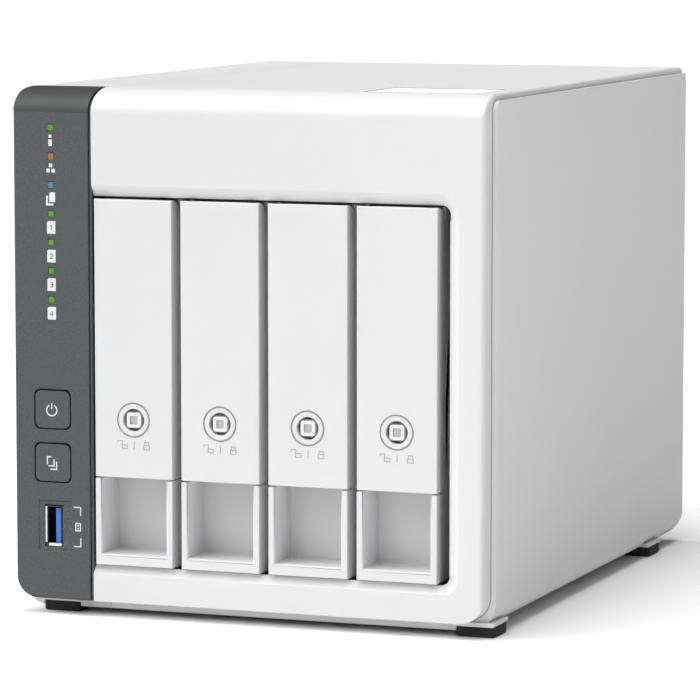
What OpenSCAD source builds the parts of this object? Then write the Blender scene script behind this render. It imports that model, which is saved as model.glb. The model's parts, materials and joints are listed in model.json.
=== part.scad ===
// Four-bay desktop network attached storage.
// Right-handed frame in millimetres: +X to the right seen from the front, the front faces -Y,
// +Z is up, and the origin is on the floor under the middle of the body.

/* [Body] */
// Overall width
body_w = 160; // [150:1:194]
// Overall depth, front to back
body_d = 219; // [212:1:265]
// Overall height, from the floor to the top
body_h = 169; // [160:1:205]
// Wall of the plastic covers, and how far the side panel stands out beside the front
cover_t = 1.6; // [1.4:0.1:2.4]
// Gap at the seams between the covers
seam = 0.2; // [0.1:0.05:0.3]
// Height of the underside above the floor
belly_z = 1.8; // [1.4:0.1:2.4]
// Height of the front's lower edge above the floor
front_z = 5; // [4.8:0.1:6.5]
// Depth of the rounded brow at the top front edge
brow_d = 14; // [8:0.5:16]
// Height of the rounded brow
brow_h = 7.7; // [4:0.1:10]
// How far the side and bottom panel starts behind the front
panel_setback = 7.1; // [6:0.1:9]
// Step from the top down to the side panel's upper edge
panel_drop = 2; // [1.5:0.1:4]
// Rounding of the lower long edges
belly_r = 8; // [6:0.5:9]

/* [Control strip] */
// Width of the control strip
strip_w = 25.8; // [24:0.1:31]
// Depth of the control strip
strip_d = 14.5; // [14:0.5:17]
// Gap between the strip and the front cover
strip_gap = 1.1; // [0.8:0.1:1.6]
// Side of the square buttons
button_size = 12.1; // [9:0.1:14]
// Gap around the buttons
button_gap = 0.35; // [0.2:0.05:0.5]
// How far the buttons travel
button_travel = 0.8; // [0.5:0.1:1]
// Height of the power button's centre
power_z = 66.2; // [64:0.1:76]
// Distance from the power button down to the copy button
button_pitch = 17.2; // [15:0.1:20]
// Height of the front USB port's centre
front_usb_z = 28.6; // [26:0.1:33]
// Side of the square status lights
light_size = 1.9; // [1.2:0.1:2.4]
// Distance of the highest light below the top
light_drop = 12.6; // [11:0.1:16]
// Pitch of the status lights
light_pitch = 9.15; // [7:0.05:10]

/* [Drives and trays] */
// Thickness of a drive
drive_w = 26.1; // [22:0.1:27]
// Length of a drive
drive_d = 147; // [100:1:150]
// Height of a drive standing on its edge
drive_h = 101.6; // [85:0.1:122]
// Width of a tray's front
tray_w = 26.5; // [26.5:0.1:32]
// Gap between the tray fronts
tray_gap = 3.1; // [2.8:0.1:5]
// Height of the trays' lower edge
tray_z = 17; // [14:0.1:24]
// Gap from the strip to the first tray
bay_margin = 2; // [1.6:0.1:3]
// Depth of a tray's front box
tray_front_d = 17; // [15:0.5:20]
// Height of the fixed lower part of a tray's front
grip_h = 27.9; // [22:0.1:36]
// Wall beside the finger grip
grip_wall = 2.2; // [1.6:0.1:3]
// Depth of the finger grip
grip_d = 14; // [12:0.5:14.5]
// Depth of the handle flap
flap_d = 8; // [7.5:0.1:9]
// Rounding at the rear of the handle's upper edge
flap_r = 7.2; // [6:0.1:7.2]
// Radius of the hinge pin
pin_r = 0.7; // [0.6:0.05:0.8]
// Height of the lock above the handle's lower edge
lock_rise = 18.6; // [15:0.1:30]
// Radius of the lock's well
lock_r = 3.6; // [3:0.1:4.2]

/* [Cooling and boards] */
// Side of the square fan
fan_size = 120; // [92:1:120]
// Depth of the fan
fan_d = 25; // [15:1:25]
// Radius of the fan's hub
hub_r = 20; // [16:0.5:24]
// Sheet thickness of the drive cage and the rear panel
sheet_t = 1.2; // [0.8:0.1:1.5]
// Thickness of the circuit boards
board_t = 1.6; // [1:0.1:2]
// How far the rear panel sits in from the back
panel_inset = 2.2; // [2:0.1:4]

/* [Feet] */
// Side of the square rubber feet
foot_size = 12.7; // [9:0.1:15]
// Height of the rubber feet
foot_h = 3.5; // [2.6:0.1:3.8]

/* [Hidden] */
$fn = 64;
bay_count = 4;
light_count = 7;
cut = 1;
post_w = 14.5;
bays_w = bay_count * tray_w + (bay_count - 1) * tray_gap;
width = max(body_w, strip_w + bay_margin + bays_w + post_w);
front_y = -body_d / 2;
back_y = body_d / 2;
left_x = -width / 2;
right_x = width / 2;

// Covers
inner_left_x = left_x + cover_t;
side_x = right_x - cover_t;
ceiling_z = body_h - cover_t;
floor_z = belly_z + cover_t;
split_x = left_x + strip_w + strip_gap;
belly_split_x = split_x + 3;
panel_y = front_y + panel_setback;
pad_top_z = front_z - seam;
soft_r = 1.5;
side_r = belly_r + 1;
left_r = belly_r - 1;
panel_r = 3.5;
flange_h = 18;
rim_d = 2;
front_t = 2.4;

// Trays, measured from the first tray's left edge
first_tray_x = left_x + strip_w + bay_margin;
tray_pitch = tray_w + tray_gap;
plate_t = 1.5;
drive_gap = 0.2;
tray_back_w = drive_w + drive_gap + plate_t;
rail_t = 4;
rail_inset = 3.6;
rail_z = tray_z + rail_inset;
drive_z = rail_z + rail_t + drive_gap;
upper_rail_z = drive_z + drive_h + drive_gap;
rail_top_z = upper_rail_z + rail_t;
tray_top_z = rail_top_z + rail_inset;
drive_y = front_y + tray_front_d + 3;
drive_end_y = drive_y + drive_d;
last_tray_x = first_tray_x + (bay_count - 1) * tray_pitch;
bays_end_x = last_tray_x + tray_w;

// Bay opening in the front
opening_x = bays_end_x + 3.6;
opening_z0 = tray_z - 0.5;
opening_z1 = tray_top_z + 0.75;
opening_r = 3;
bevel_w = 3.5;
sill_bevel = 2.6;

// Handle flap
parting_gap = 0.5;
grip_top_z = tray_z + grip_h;
flap_z = grip_top_z + parting_gap;
flap_wall = 1.5;
pivot_y = front_y + 2.4;
pivot_z = tray_top_z - 3.4;
pin_play = 0.06;
pin_stop = 0.6;
ear_r = 1.5;
ear_t = 2.5;
ear_gap = 0.3;
ear_wall = 0.6;
lock_z = flap_z + lock_rise;
lock_play = 0.06;
lock_boss_r = lock_r + 1.6;
lock_boss_d = 6;
well_d = 1.2;
cam_y = front_y + flap_d + 0.9;
cam_t = 2;
cam_w = 4;
cam_len = tray_w / 2 - 0.35;

// Drive clips
clip_w = 9;
clip_t = 1.6;
clip_len = 72;
clip_pin_r = 1.45;
clip_hole_r = 1.6;
clip_bite = 2.5;
bite_d = clip_bite + 0.4;
pocket_d = 1.6;
pocket_rim = 3;
pocket_end = 8;
ledge_d = 0.8;
ledge_h = 4;
clip_ys = [drive_y + 24, drive_y + 84];

// Cage
slide_gap = 0.4;
cage_floor_z = rail_z - slide_gap;
cage_roof_z = rail_top_z + slide_gap;
cage_left_x = first_tray_x - 3;
cage_right_x = last_tray_x + tray_back_w + 2;
cage_y = front_y + tray_front_d + 2;
cage_mid_x = (cage_left_x + cage_right_x) / 2;
cage_mid_z = (cage_floor_z + cage_roof_z) / 2;
rib_t = 1;
rib_h = 5;

// Backplane
backplane_y = drive_end_y + 4.5;
sata_len = 42;
sata_w = 5;
socket_depth = 5;
socket_gap = 0.5;
blade_tip = 1.5;

// Rear panel and fan
panel_y1 = back_y - panel_inset;
panel_y0 = panel_y1 - sheet_t;
rear_z0 = belly_z + belly_r + 1.2;
fan_y1 = panel_y0;
fan_y0 = fan_y1 - fan_d;
fan_x = cage_mid_x;
fan_z = cage_mid_z;
fan_hole = fan_size / 2 - 7.5;
fan_bore_r = fan_size / 2 - 2;
blade_r = fan_bore_r - 1.2;
shaft_r = 1.5;
shaft_play = 0.05;
hex_pitch = 7.6;
hex_r = 3.6;
grille_r = fan_bore_r - 4;

// Screws
screw_r = 1.4;
screw_hole_r = 1.45;
head_r = 3;
head_t = 1.4;
boss_r = 3.6;
boss_d = 10;
boss_in = 3.2;
cover_left_screws = [
    [left_x + 14, ceiling_z - boss_in],
    [inner_left_x + boss_in, rear_z0 + 6]
];
cover_top_screws = [
    [0, ceiling_z - boss_in],
    [side_x - 18, ceiling_z - boss_in]
];
cover_right_screws = [
    [side_x - boss_in, rear_z0 + 12],
    [side_x - boss_in, body_h - 60]
];

// Main board, standing behind the strip
board_x = inner_left_x + 2.6;
board_face_x = board_x + board_t;
board_y0 = cage_y;
board_y1 = panel_y0 - 1;
board_z0 = rear_z0 + 15;
board_z1 = body_h - 11;
standoff_r = 2.8;
standoff_ys = [board_y0 + 8, 0, back_y - 35];
standoff_zs = [board_z0 + 6, board_z1 - 6];
port_step = 17;
jack_w = 16;
jack_t = 13.4;
jack_d = 21;
jack_wall = 1;
jack_pitch = 19;
jack_count = 2;
jack_hole_w = 12;
jack_hole_t = 8.4;
jack_hole_d = 15.5;
jack_key_w = 6.2;
usb_w = 13.1;
usb_t = 5.7;
usb_d = 14.2;
usb_wall = 0.35;
usb_gap = 0.3;
tongue_t = 1.9;
tongue_gap = 0.3;
tongue_rim = 0.6;
tongue_in = 1.2;
carrier_d = 1.5;
rear_usb_z = board_z0 + 29;
jack_z = rear_usb_z + port_step + usb_w / 2 + 3.5 + jack_w / 2;
rear_usb_x = board_face_x + 0.4 + usb_t / 2;
dc_z = board_z0 + 10;
dc_size = 9;
dc_t = 11;
dc_d = 14;
dc_r = 3.2;
dc_pin_r = 1.05;
dc_bore_d = 9.5;
reset_z = jack_z + (jack_count - 1) * jack_pitch + jack_w / 2 + 9;
reset_r = 1.25;
reset_pin_r = 0.95;
vent_count = 5;
vent_pitch = 4;
vent_w = 2;
vent_len = 14;
key_slot_x = left_x + 20;
key_slot_z = rear_z0 + 7;
key_slot_w = 3;
key_slot_h = 7;
sink_size = 42;
sink_z = board_z0 + 70;
sink_fins = 8;
chip_t = 1.2;
cell_r = 10;
cell_t = 3.2;

// Front board
strip_mid_x = left_x + strip_w / 2;
front_board_y = front_y + strip_d + 0.1;
copy_z = power_z - button_pitch;
light_z = body_h - light_drop;
button_r = 2;
stem_size = 5;
stem_gap = button_travel + 0.2;
switch_d = 4.6;
stem_end_y = front_board_y - switch_d - stem_gap;

// Small details
groove_w = 0.3;
groove_d = 2.6;
band_step = 0.6;
light_play = 0.05;
plunger_root = 0.4;
dish_d = 0.4;
dish_more = 1.4;
dish_border = [1.9, 1.1];
mouth_in = 0.4;
switch_size = 6;
switch_body_d = 3.4;
plunger_r = 1.7;
reset_len = 3.4;
reset_back = 3;
blade_gap = 1.7;
blade_edge = 1.6;
blade_rim = 3;
port_proud = 0.2;
fan_screw_r = 2;
reset_x = board_face_x + 2.5;
cable_y = fan_y0 + 4;
cable_z = board_z0 + 16;
cable_r = 1.4;
cable_hole_r = 4;
cage_slots = 5;
cage_slot_pitch = 30;
cage_slot_w = 14;
cage_slot_y = 14;
cage_slot_z = 30;
socket_x = 18.5;
socket_z = 10;
fin_t = 1.2;
sink_base = 2.2;
sink_h = 13;
strut_t = 3.5;
strut_w = 4;
fan_flange = 4;
fan_corner_r = 5;
duct_t = 1.6;
bearing_in = 6;
bearing_r = 3.4;
fan_screw_len = 8;
fan_head_more = 1.6;
rear_screw_len = 6;
header_t = 7;
header_half = [5, 3];
cup_wall = 1.5;
blade_count = 7;
blade_pitch = 38;
blade_chord = 26;
blade_t = 1.6;
ear_xs = [flap_wall + 0.4, tray_w - flap_wall - 0.4 - ear_t];
vent_step = 11;
window_ys = [drive_y + 12, drive_y + 80];
window_w = 54;
clip_x = 13.25;
clip_end = 6;
ring_r = 5.5;
ring_groove = 0.25;
key_size = 4.8;
key_hole = 2.7;
key_r = 0.8;
key_hole_r = 0.3;
key_in = 0.3;
key_d = 2.6;
collar_gap = 0.15;
collar_in = 0.4;
collar_t = 1.2;
flap_gap = 0.3;
stiffener_zs = [22, 40];
stiffener_d = 6;
stiffener_t = 1.2;
cam_gap = 0.4;
cam_room_low = 3.2;
cam_room_high = 10;
slot_rise = 14;
slot_drop = 12;
slot_in = 5;
slot_h = 4;
window_rim = 12;
clip_play = 0.1;

// Feet
foot_left_x = left_x + 12.85;
foot_right_x = right_x - foot_size / 2 - 0.05;
foot_front_y = front_y + 12.85;
foot_rear_y = back_y - 35.15;
pad_border = 1;
foot_r = 1.2;

// Label in the top
label_w = 38;
label_d = 30;
label_x = side_x - 6 - label_w;
label_y = front_y + 11;
label_recess = 0.5;
label_t = 0.25;

// ---- Helpers ----

// A box between two opposite corners
module block(low, high) {
    translate(low) cube(high - low);
}

// A flat outline in (y, z), drawn out along X
module along_x(x0, x1) {
    translate([x0, 0, 0]) rotate([90, 0, 90]) linear_extrude(x1 - x0) children();
}

// A flat outline in (x, z), drawn out along Y
module along_y(y0, y1) {
    translate([0, y1, 0]) rotate([90, 0, 0]) linear_extrude(y1 - y0) children();
}

// A flat outline in (x, y), drawn out along Z
module along_z(z0, z1) {
    translate([0, 0, z0]) linear_extrude(z1 - z0) children();
}

// A rectangle between two corners, all four corners rounded
module round_rect(low, high, r) {
    size = high - low;
    translate([low.x + r, low.y]) square([size.x - 2 * r, size.y]);
    translate([low.x, low.y + r]) square([size.x, size.y - 2 * r]);
    for (x = [low.x + r, high.x - r], y = [low.y + r, high.y - r]) {
        translate([x, y]) circle(r);
    }
}

// A rectangle between two corners, each corner with its own rounding:
// lower left, lower right, upper right, upper left
module corner_rect(low, high, radii) {
    corners = [low, [high.x, low.y], high, [low.x, high.y]];
    inward = [[1, 1], [-1, 1], [-1, -1], [1, -1]];
    difference() {
        translate(low) square(high - low);
        for (i = [0 : 3]) {
            if (radii[i] > 0) {
                corner_bite(corners[i], inward[i], radii[i]);
            }
        }
    }
}

// What a rounding takes off one corner
module corner_bite(corner, inward, r) {
    centre = corner + r * inward;
    outer = corner - cut * inward;
    low = [min(centre.x, outer.x), min(centre.y, outer.y)];
    high = [max(centre.x, outer.x), max(centre.y, outer.y)];
    difference() {
        translate(low) square(high - low);
        translate(centre) circle(r);
    }
}

// A round bar along X, Y or Z from a start point
module bar_x(start, r, len) {
    translate(start) rotate([0, 90, 0]) cylinder(r = r, h = len);
}

module bar_y(start, r, len) {
    translate(start) rotate([-90, 0, 0]) cylinder(r = r, h = len);
}

// The side outline, in (y, z), of everything behind the front face, with the rounded brow.
// margin draws the outline in, for the hollow inside.
module brow_outline(margin, z0) {
    depth = brow_d - margin;
    rise = brow_h - margin;
    y0 = front_y + margin;
    z1 = body_h - margin;
    steps = 20;
    polygon(concat(
        [for (i = [0 : steps]) [
            y0 + depth * (1 - cos(90 * i / steps)),
            z1 - rise * (1 - sin(90 * i / steps))
        ]],
        [[back_y + cut, z1], [back_y + cut, z0], [y0, z0]]
    ));
}

// The x of tray i's left edge
function tray_x(i) = first_tray_x + i * tray_pitch;

// ---- Covers ----

// Front face and top in one moulding, open to the left beside the control strip
module main_cover() {
    color("white")
    difference() {
        union() {
            difference() {
                main_cover_body();
                main_cover_hollow();
            }
            screw_posts(cover_top_screws);
        }
        bay_opening();
        side_panel_room();
        screw_holes(cover_top_screws);
        block([label_x, label_y, body_h - label_recess],
              [label_x + label_w, label_y + label_d, body_h + cut]);
    }
}

module main_cover_body() {
    intersection() {
        along_y(front_y, back_y)
            corner_rect([split_x, front_z], [side_x, body_h], [0, belly_r, soft_r, 0]);
        along_x(split_x - cut, side_x + cut) brow_outline(0, front_z - cut);
        along_z(front_z - cut, body_h + cut)
            corner_rect([split_x, front_y], [side_x, back_y], [0, soft_r, 0, 0]);
    }
}

module main_cover_hollow() {
    intersection() {
        along_y(front_y + front_t, back_y + cut)
            corner_rect([split_x - cut, front_z + cover_t], [side_x - cover_t, ceiling_z],
                        [0, belly_r - cover_t, 0, 0]);
        along_x(split_x - cut, side_x) brow_outline(cover_t, front_z);
    }
}

// The opening for the trays, with its soft bevel all round
module bay_opening() {
    face = front_y + front_t;
    along_y(front_y - cut, face + cut)
        corner_rect([split_x - cut, opening_z0], [opening_x, opening_z1], [0, opening_r, opening_r, 0]);
    along_x(split_x - cut, opening_x - opening_r)
        bevel_outline(opening_z1, bevel_w);
    along_x(split_x - cut, opening_x - opening_r)
        bevel_outline(opening_z0, -sill_bevel);
    translate([opening_x, 0, 0]) along_z(opening_z0 + opening_r, opening_z1 - opening_r)
        polygon([[-cut, front_y - cut], [bevel_w, front_y - cut], [bevel_w, front_y], [-cut, face]]);
    bevel_corner(opening_z1 - opening_r);
    intersection() {
        bevel_corner(opening_z0 + opening_r);
        along_x(opening_x - opening_r, opening_x + bevel_w + cut) polygon([
            [front_y - cut, opening_z0 + opening_r], [front_y - cut, opening_z0 - sill_bevel],
            [front_y, opening_z0 - sill_bevel], [face, opening_z0], [face, opening_z0 + opening_r]
        ]);
    }
}

// The bevel's outline in (y, z) at an edge of height z, spreading by w at the face
module bevel_outline(z, w) {
    inward = -sign(w) * cut;
    polygon([
        [front_y - cut, z + inward], [front_y - cut, z + w], [front_y, z + w],
        [front_y + front_t, z], [front_y + front_t, z + inward]
    ]);
}

// The bevel round a corner of the opening, as wide as the side's
module bevel_corner(z) {
    translate([opening_x - opening_r, front_y + front_t, z]) rotate([90, 0, 0])
        cylinder(r1 = opening_r, r2 = opening_r + bevel_w, h = front_t);
}

// Behind the brow only the top and a flange along its right edge go on
module side_panel_room() {
    block([split_x - cut, front_y + brow_d, front_z - cut],
          [side_x + cut, back_y + cut, body_h - flange_h]);
}

// The side outline, in (y, z), of a cover whose lower back edge is rounded
module cover_side(y0, z1, top_r) {
    corner_rect([y0, belly_z], [back_y, z1], [0, side_r, 0, top_r]);
}

// The side outline of that cover's hollow, open to the front and the back
module cover_side_hollow(y0, z1) {
    corner_rect([y0 - cut, floor_z], [back_y - cover_t, z1], [0, side_r - cover_t, 0, 0]);
    translate([back_y - cover_t - cut, belly_z + side_r])
        square([cover_t + 2 * cut, z1 - belly_z - side_r]);
}

// Right side and underside in one moulding, proud of the front cover
module right_cover() {
    z1 = body_h - panel_drop;
    color("lightgray")
    difference() {
        union() {
            difference() {
                intersection() {
                    along_y(panel_y, back_y)
                        corner_rect([belly_split_x, belly_z], [right_x, z1], [0, side_r, 0, 0]);
                    along_x(belly_split_x, right_x) cover_side(panel_y, z1, panel_r);
                }
                intersection() {
                    along_y(panel_y + rim_d, back_y + cut)
                        corner_rect([belly_split_x - cut, floor_z], [right_x - cover_t, z1 + cut],
                                    [0, side_r - cover_t, 0, 0]);
                    along_x(belly_split_x - cut, right_x) cover_side_hollow(panel_y, z1 + cut);
                }
                along_y(panel_y - cut, panel_y + rim_d + seam)
                    corner_rect([belly_split_x - cut, pad_top_z], [side_x, z1 + cut], [0, belly_r, 0, 0]);
            }
            foot_pads(foot_right_x);
            screw_posts(cover_right_screws);
        }
        foot_pockets(foot_right_x);
        screw_holes(cover_right_screws);
    }
}

// U-shaped shell with the left side and a strip of the top and of the underside
module left_cover() {
    y0 = front_y + strip_d + seam;
    x1 = split_x - seam;
    x2 = belly_split_x - seam;
    color("white")
    difference() {
        union() {
            difference() {
                intersection() {
                    along_y(y0, back_y) union() {
                        corner_rect([left_x, belly_z], [x1, body_h], [left_r, 0, 0, soft_r]);
                        translate([x1 - cut, belly_z]) square([x2 - x1 + cut, side_r]);
                    }
                    along_x(left_x, x2) cover_side(y0, body_h, 0);
                }
                intersection() {
                    along_y(y0 - cut, back_y + cut)
                        corner_rect([inner_left_x, floor_z], [x2 + cut, ceiling_z],
                                    [left_r - cover_t, 0, 0, 0]);
                    along_x(left_x, x2 + cut) cover_side_hollow(y0, ceiling_z);
                }
            }
            along_y(panel_y, y0 + cover_t)
                corner_rect([left_x, belly_z], [x2, pad_top_z], [left_r, 0, 0, 0]);
            foot_pads(foot_left_x);
            screw_posts(cover_left_screws);
        }
        foot_pockets(foot_left_x);
        screw_holes(cover_left_screws);
    }
}

// Square pads over the feet, where the rounded edge falls away
module foot_pads(x) {
    half = foot_size / 2 + pad_border;
    for (y = [foot_front_y, foot_rear_y]) {
        block([max(x - half, left_x), y - half, foot_h],
              [min(x + half, right_x), y + half, pad_top_z]);
    }
}

// Pockets in the underside that locate the feet
module foot_pockets(x) {
    half = foot_size / 2 + seam / 2;
    for (y = [foot_front_y, foot_rear_y]) {
        block([x - half, y - half, belly_z - cut], [x + half, y + half, foot_h]);
    }
}

// Posts inside a cover that the rear screws go into
module screw_posts(places) {
    for (p = places) {
        bar_y([p.x, panel_y0 - boss_d, p.y], boss_r, boss_d);
    }
}

module screw_holes(places) {
    for (p = places) {
        bar_y([p.x, panel_y0 - boss_d + cover_t, p.y], screw_hole_r, boss_d);
    }
}

// The dark front bezel at the left
module control_strip() {
    x1 = left_x + strip_w;
    y1 = front_y + strip_d;
    color("dimgray")
    difference() {
        union() {
            difference() {
                strip_form(0, y1);
                strip_form(front_t, y1 + cut);
            }
            intersection() {
                along_y(front_y, y1)
                    translate([x1, front_z]) square([groove_w, body_h - front_z]);
                along_x(x1, x1 + groove_w) brow_outline(groove_d, front_z);
            }
            intersection() {
                along_y(front_y, y1)
                    translate([x1 + groove_w, front_z])
                    square([strip_gap - groove_w - seam / 2, body_h - front_z]);
                along_x(x1, x1 + strip_gap) brow_outline(band_step, front_z);
            }
        }
        for (z = [power_z, copy_z]) {
            along_y(front_y - cut, front_y + front_t + cut)
                square_outline(strip_mid_x, z, button_size + 2 * button_gap, button_r);
        }
        for (i = [0 : light_count - 1]) {
            along_y(front_y - cut, front_y + front_t + cut)
                light_outline(i, light_size + 2 * light_play);
        }
        usb_window();
    }
}

module strip_form(margin, y1) {
    intersection() {
        along_y(front_y + margin, y1)
            corner_rect([left_x + margin, front_z + margin], [left_x + strip_w - margin, body_h - margin],
                        [left_r - margin, 0, 0, max(soft_r - margin, 0)]);
        along_x(left_x, left_x + strip_w) brow_outline(margin, front_z);
    }
}

module square_outline(x, z, size, r) {
    half = size / 2;
    round_rect([x - half, z - half], [x + half, z + half], r);
}

module light_outline(i, size) {
    translate([strip_mid_x, light_z - i * light_pitch]) square(size, center = true);
}

// Window for the front USB port, in a shallow dish
module usb_window() {
    half = [usb_t / 2 + usb_gap, usb_w / 2 + usb_gap];
    dish = half + dish_border;
    place = [strip_mid_x, front_usb_z];
    along_y(front_y - cut, front_y + front_t + cut) translate(place - half) square(2 * half);
    along_y(front_y - cut, front_y + dish_d) translate(place - dish) square(2 * dish + [dish_more, 0]);
}

// Sheet steel back with the fan grille and the port openings
module rear_panel() {
    color("silver")
    along_y(panel_y0, panel_y1) difference() {
        union() {
            translate([inner_left_x + seam, rear_z0])
                square([width - 2 * cover_t - 2 * seam, body_h - flange_h - seam - rear_z0]);
            translate([inner_left_x + seam, rear_z0])
                square([side_x - cover_t - 2 * seam - inner_left_x, ceiling_z - seam - rear_z0]);
        }
        fan_grille();
        for (p = concat(cover_left_screws, cover_top_screws, cover_right_screws)) {
            translate(p) circle(screw_r + 0.2);
        }
        for (sx = [-1, 1], sz = [-1, 1]) {
            translate([fan_x + sx * fan_hole, fan_z + sz * fan_hole]) circle(fan_screw_r + 0.2);
        }
        for (i = [0 : jack_count - 1]) {
            window([board_face_x + jack_t / 2, jack_z + i * jack_pitch], [jack_t, jack_w]);
        }
        for (i = [0 : 1]) {
            window([rear_usb_x, rear_usb_z + i * port_step], [usb_t, usb_w]);
        }
        window([board_face_x + dc_t / 2, dc_z], [dc_t, dc_size]);
        translate([reset_x, reset_z]) circle(reset_r);
        for (i = [0 : vent_count - 1]) {
            translate([board_face_x + 1, reset_z + 7 + i * vent_pitch]) square([vent_len, vent_w]);
        }
        round_rect([key_slot_x - key_slot_w / 2, key_slot_z - key_slot_h / 2],
                   [key_slot_x + key_slot_w / 2, key_slot_z + key_slot_h / 2], 0.8);
    }
}

// A port's opening, a little larger than the port
module window(centre, size) {
    translate(centre - size / 2 - [seam, seam]) square(size + 2 * [seam, seam]);
}

// Hexagonal holes over the fan, in a round field
module fan_grille() {
    row = hex_pitch * sqrt(3) / 2;
    reach = ceil(grille_r / row);
    for (j = [-reach : reach], i = [-reach : reach]) {
        place = [(i + (j % 2 == 0 ? 0 : 0.5)) * hex_pitch, j * row];
        if (norm(place) < grille_r - hex_r) {
            translate([fan_x, fan_z] + place) rotate(30) circle(r = hex_r, $fn = 6);
        }
    }
}

// Blank label in the recess of the top
module top_label() {
    color("white")
    block([label_x + 0.4, label_y + 0.4, body_h - label_recess],
          [label_x + label_w - 0.4, label_y + label_d - 0.4, body_h - label_recess + label_t]);
}

module rubber_feet() {
    color("black")
    for (x = [foot_left_x, foot_right_x], y = [foot_front_y, foot_rear_y]) {
        translate([x, y, 0]) along_z(0, foot_h)
            round_rect([-foot_size / 2, -foot_size / 2], [foot_size / 2, foot_size / 2], foot_r);
    }
}

// ---- Cage and boards ----

// Folded sheet steel that holds the trays; its left wall is taller and carries the main board
module drive_cage() {
    x0 = cage_left_x - sheet_t;
    x1 = cage_right_x + sheet_t;
    z0 = pad_top_z + seam;
    y1 = fan_y0 - 2;
    color("silver")
    difference() {
        union() {
            block([x0, cage_y, z0], [cage_left_x, panel_y0, board_z1]);
            block([cage_right_x, cage_y, z0], [x1, panel_y0, cage_roof_z + sheet_t]);
            block([x0, cage_y, cage_floor_z - sheet_t], [x1, y1, cage_floor_z]);
            block([x0, cage_y, cage_roof_z], [x1, y1, cage_roof_z + sheet_t]);
        }
        bar_x([x0 - cut, cable_y, cable_z], cable_hole_r, sheet_t + 2 * cut);
        block([x0 - cut, back_y - side_r, z0 - cut], [x1 + cut, panel_y0 + cut, belly_z + side_r]);
        for (i = [0 : cage_slots - 1]) {
            y = cage_y + cage_slot_y + i * cage_slot_pitch;
            block([x0 - cut, y, z0 + cage_slot_z],
                  [x1 + cut, y + cage_slot_w, z0 + cage_slot_z + drive_h / 2]);
        }
    }
}

// Guide ribs on the cage's floor and roof, to the left of each tray and to the right of the last
module bay_rails() {
    color("white")
    for (i = [0 : bay_count]) {
        x = i < bay_count ? tray_x(i) - slide_gap - rib_t : last_tray_x + tray_back_w + slide_gap;
        block([x, cage_y + 1, cage_floor_z], [x + rib_t, drive_end_y - 5, cage_floor_z + rib_h]);
        block([x, cage_y + 1, cage_roof_z - rib_h], [x + rib_t, drive_end_y - 5, cage_roof_z]);
    }
}

// Upright board behind the drives, open for the air between the connectors
module backplane_board() {
    color("darkgreen")
    along_y(backplane_y, backplane_y + board_t) difference() {
        translate([cage_left_x + seam, cage_floor_z + seam])
            square([cage_right_x - cage_left_x - 2 * seam, cage_roof_z - cage_floor_z - 2 * seam]);
        for (i = [0 : bay_count - 1]) {
            translate([tray_x(i) + 2, drive_z + 8]) square([drive_w / 2, drive_h - 16]);
        }
    }
}

module sata_connectors() {
    color("black")
    for (i = [0 : bay_count - 1]) {
        x = tray_x(i) + socket_x;
        z = drive_z + socket_z;
        y = drive_end_y + socket_gap;
        block([x, y, z], [x + sata_w, backplane_y, z + sata_len]);
        block([x + blade_gap, drive_end_y - socket_depth + blade_tip, z + blade_rim],
              [x + blade_gap + blade_edge, y, z + sata_len - blade_rim]);
    }
}

// Upright main board behind the control strip
module main_board() {
    color("darkgreen")
    difference() {
        block([board_x, board_y0, board_z0], [board_face_x, board_y1, board_z1]);
        for (y = standoff_ys, z = standoff_zs) {
            bar_x([board_x - cut, y, z], screw_r + 0.1, board_t + 2 * cut);
        }
    }
}

// A chip on the main board: its centre, and its size along Y, Z and X
module chip(y, z, size) {
    block([board_face_x, y - size.x / 2, z - size.y / 2],
          [board_face_x + size.z, y + size.x / 2, z + size.y / 2]);
}

module board_chips() {
    color("black") {
        chip(0, sink_z, [30, 30, chip_t]);
        for (z = [sink_z - 30, sink_z + 32]) {
            chip(-8, z, [12, 10, chip_t]);
            chip(8, z, [12, 10, chip_t]);
        }
        chip(44, jack_z + 6, [14, 14, chip_t]);
        chip(board_y0 + 30, board_z0 + 20, [18, 22, 6]);
        chip(board_y0 + 30, board_z0 + 50, [12, 12, 7]);
        chip(board_y1 - 9, reset_z, [5, 6, 5]);
    }
}

module heatsink() {
    base_x = board_face_x + chip_t;
    step = (sink_size - fin_t) / (sink_fins - 1);
    color("darkgray") {
        block([base_x, -sink_size / 2, sink_z - sink_size / 2],
              [base_x + sink_base, sink_size / 2, sink_z + sink_size / 2]);
        for (i = [0 : sink_fins - 1]) {
            z = sink_z - sink_size / 2 + i * step;
            block([base_x, -sink_size / 2, z], [base_x + sink_h, sink_size / 2, z + fin_t]);
        }
    }
}

module clock_battery() {
    color("silver")
    bar_x([board_face_x, 52, board_z0 + 24], cell_r, cell_t);
}

module board_standoffs() {
    color("gold")
    for (y = standoff_ys, z = standoff_zs) {
        difference() {
            translate([board_face_x, y, z]) rotate([0, 90, 0])
                cylinder(r = standoff_r, h = cage_left_x - sheet_t - board_face_x, $fn = 6);
            bar_x([board_face_x - cut, y, z], screw_hole_r, 8 + cut);
        }
    }
}

module board_screws() {
    color("silver")
    for (y = standoff_ys, z = standoff_zs) {
        bar_x([board_x - head_t, y, z], head_r, head_t);
        bar_x([board_x - head_t, y, z], screw_r, head_t + board_t + 6);
    }
}

module front_board() {
    color("darkgreen")
    block([inner_left_x + 0.6, front_board_y, front_z + 12],
          [left_x + strip_w - 3, front_board_y + board_t, light_z + 5]);
}

module light_pipes() {
    color("lightgreen")
    for (i = [0 : light_count - 1]) {
        along_y(front_y + 0.1, front_board_y - 1) light_outline(i, light_size);
    }
}

module button_switches() {
    color("black")
    for (z = [power_z, copy_z]) {
        half = switch_size / 2;
        block([strip_mid_x - half, front_board_y - switch_body_d, z - half],
              [strip_mid_x + half, front_board_y, z + half]);
        bar_y([strip_mid_x, front_board_y - switch_d, z], plunger_r,
              switch_d - switch_body_d + plunger_root);
    }
}

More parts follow.
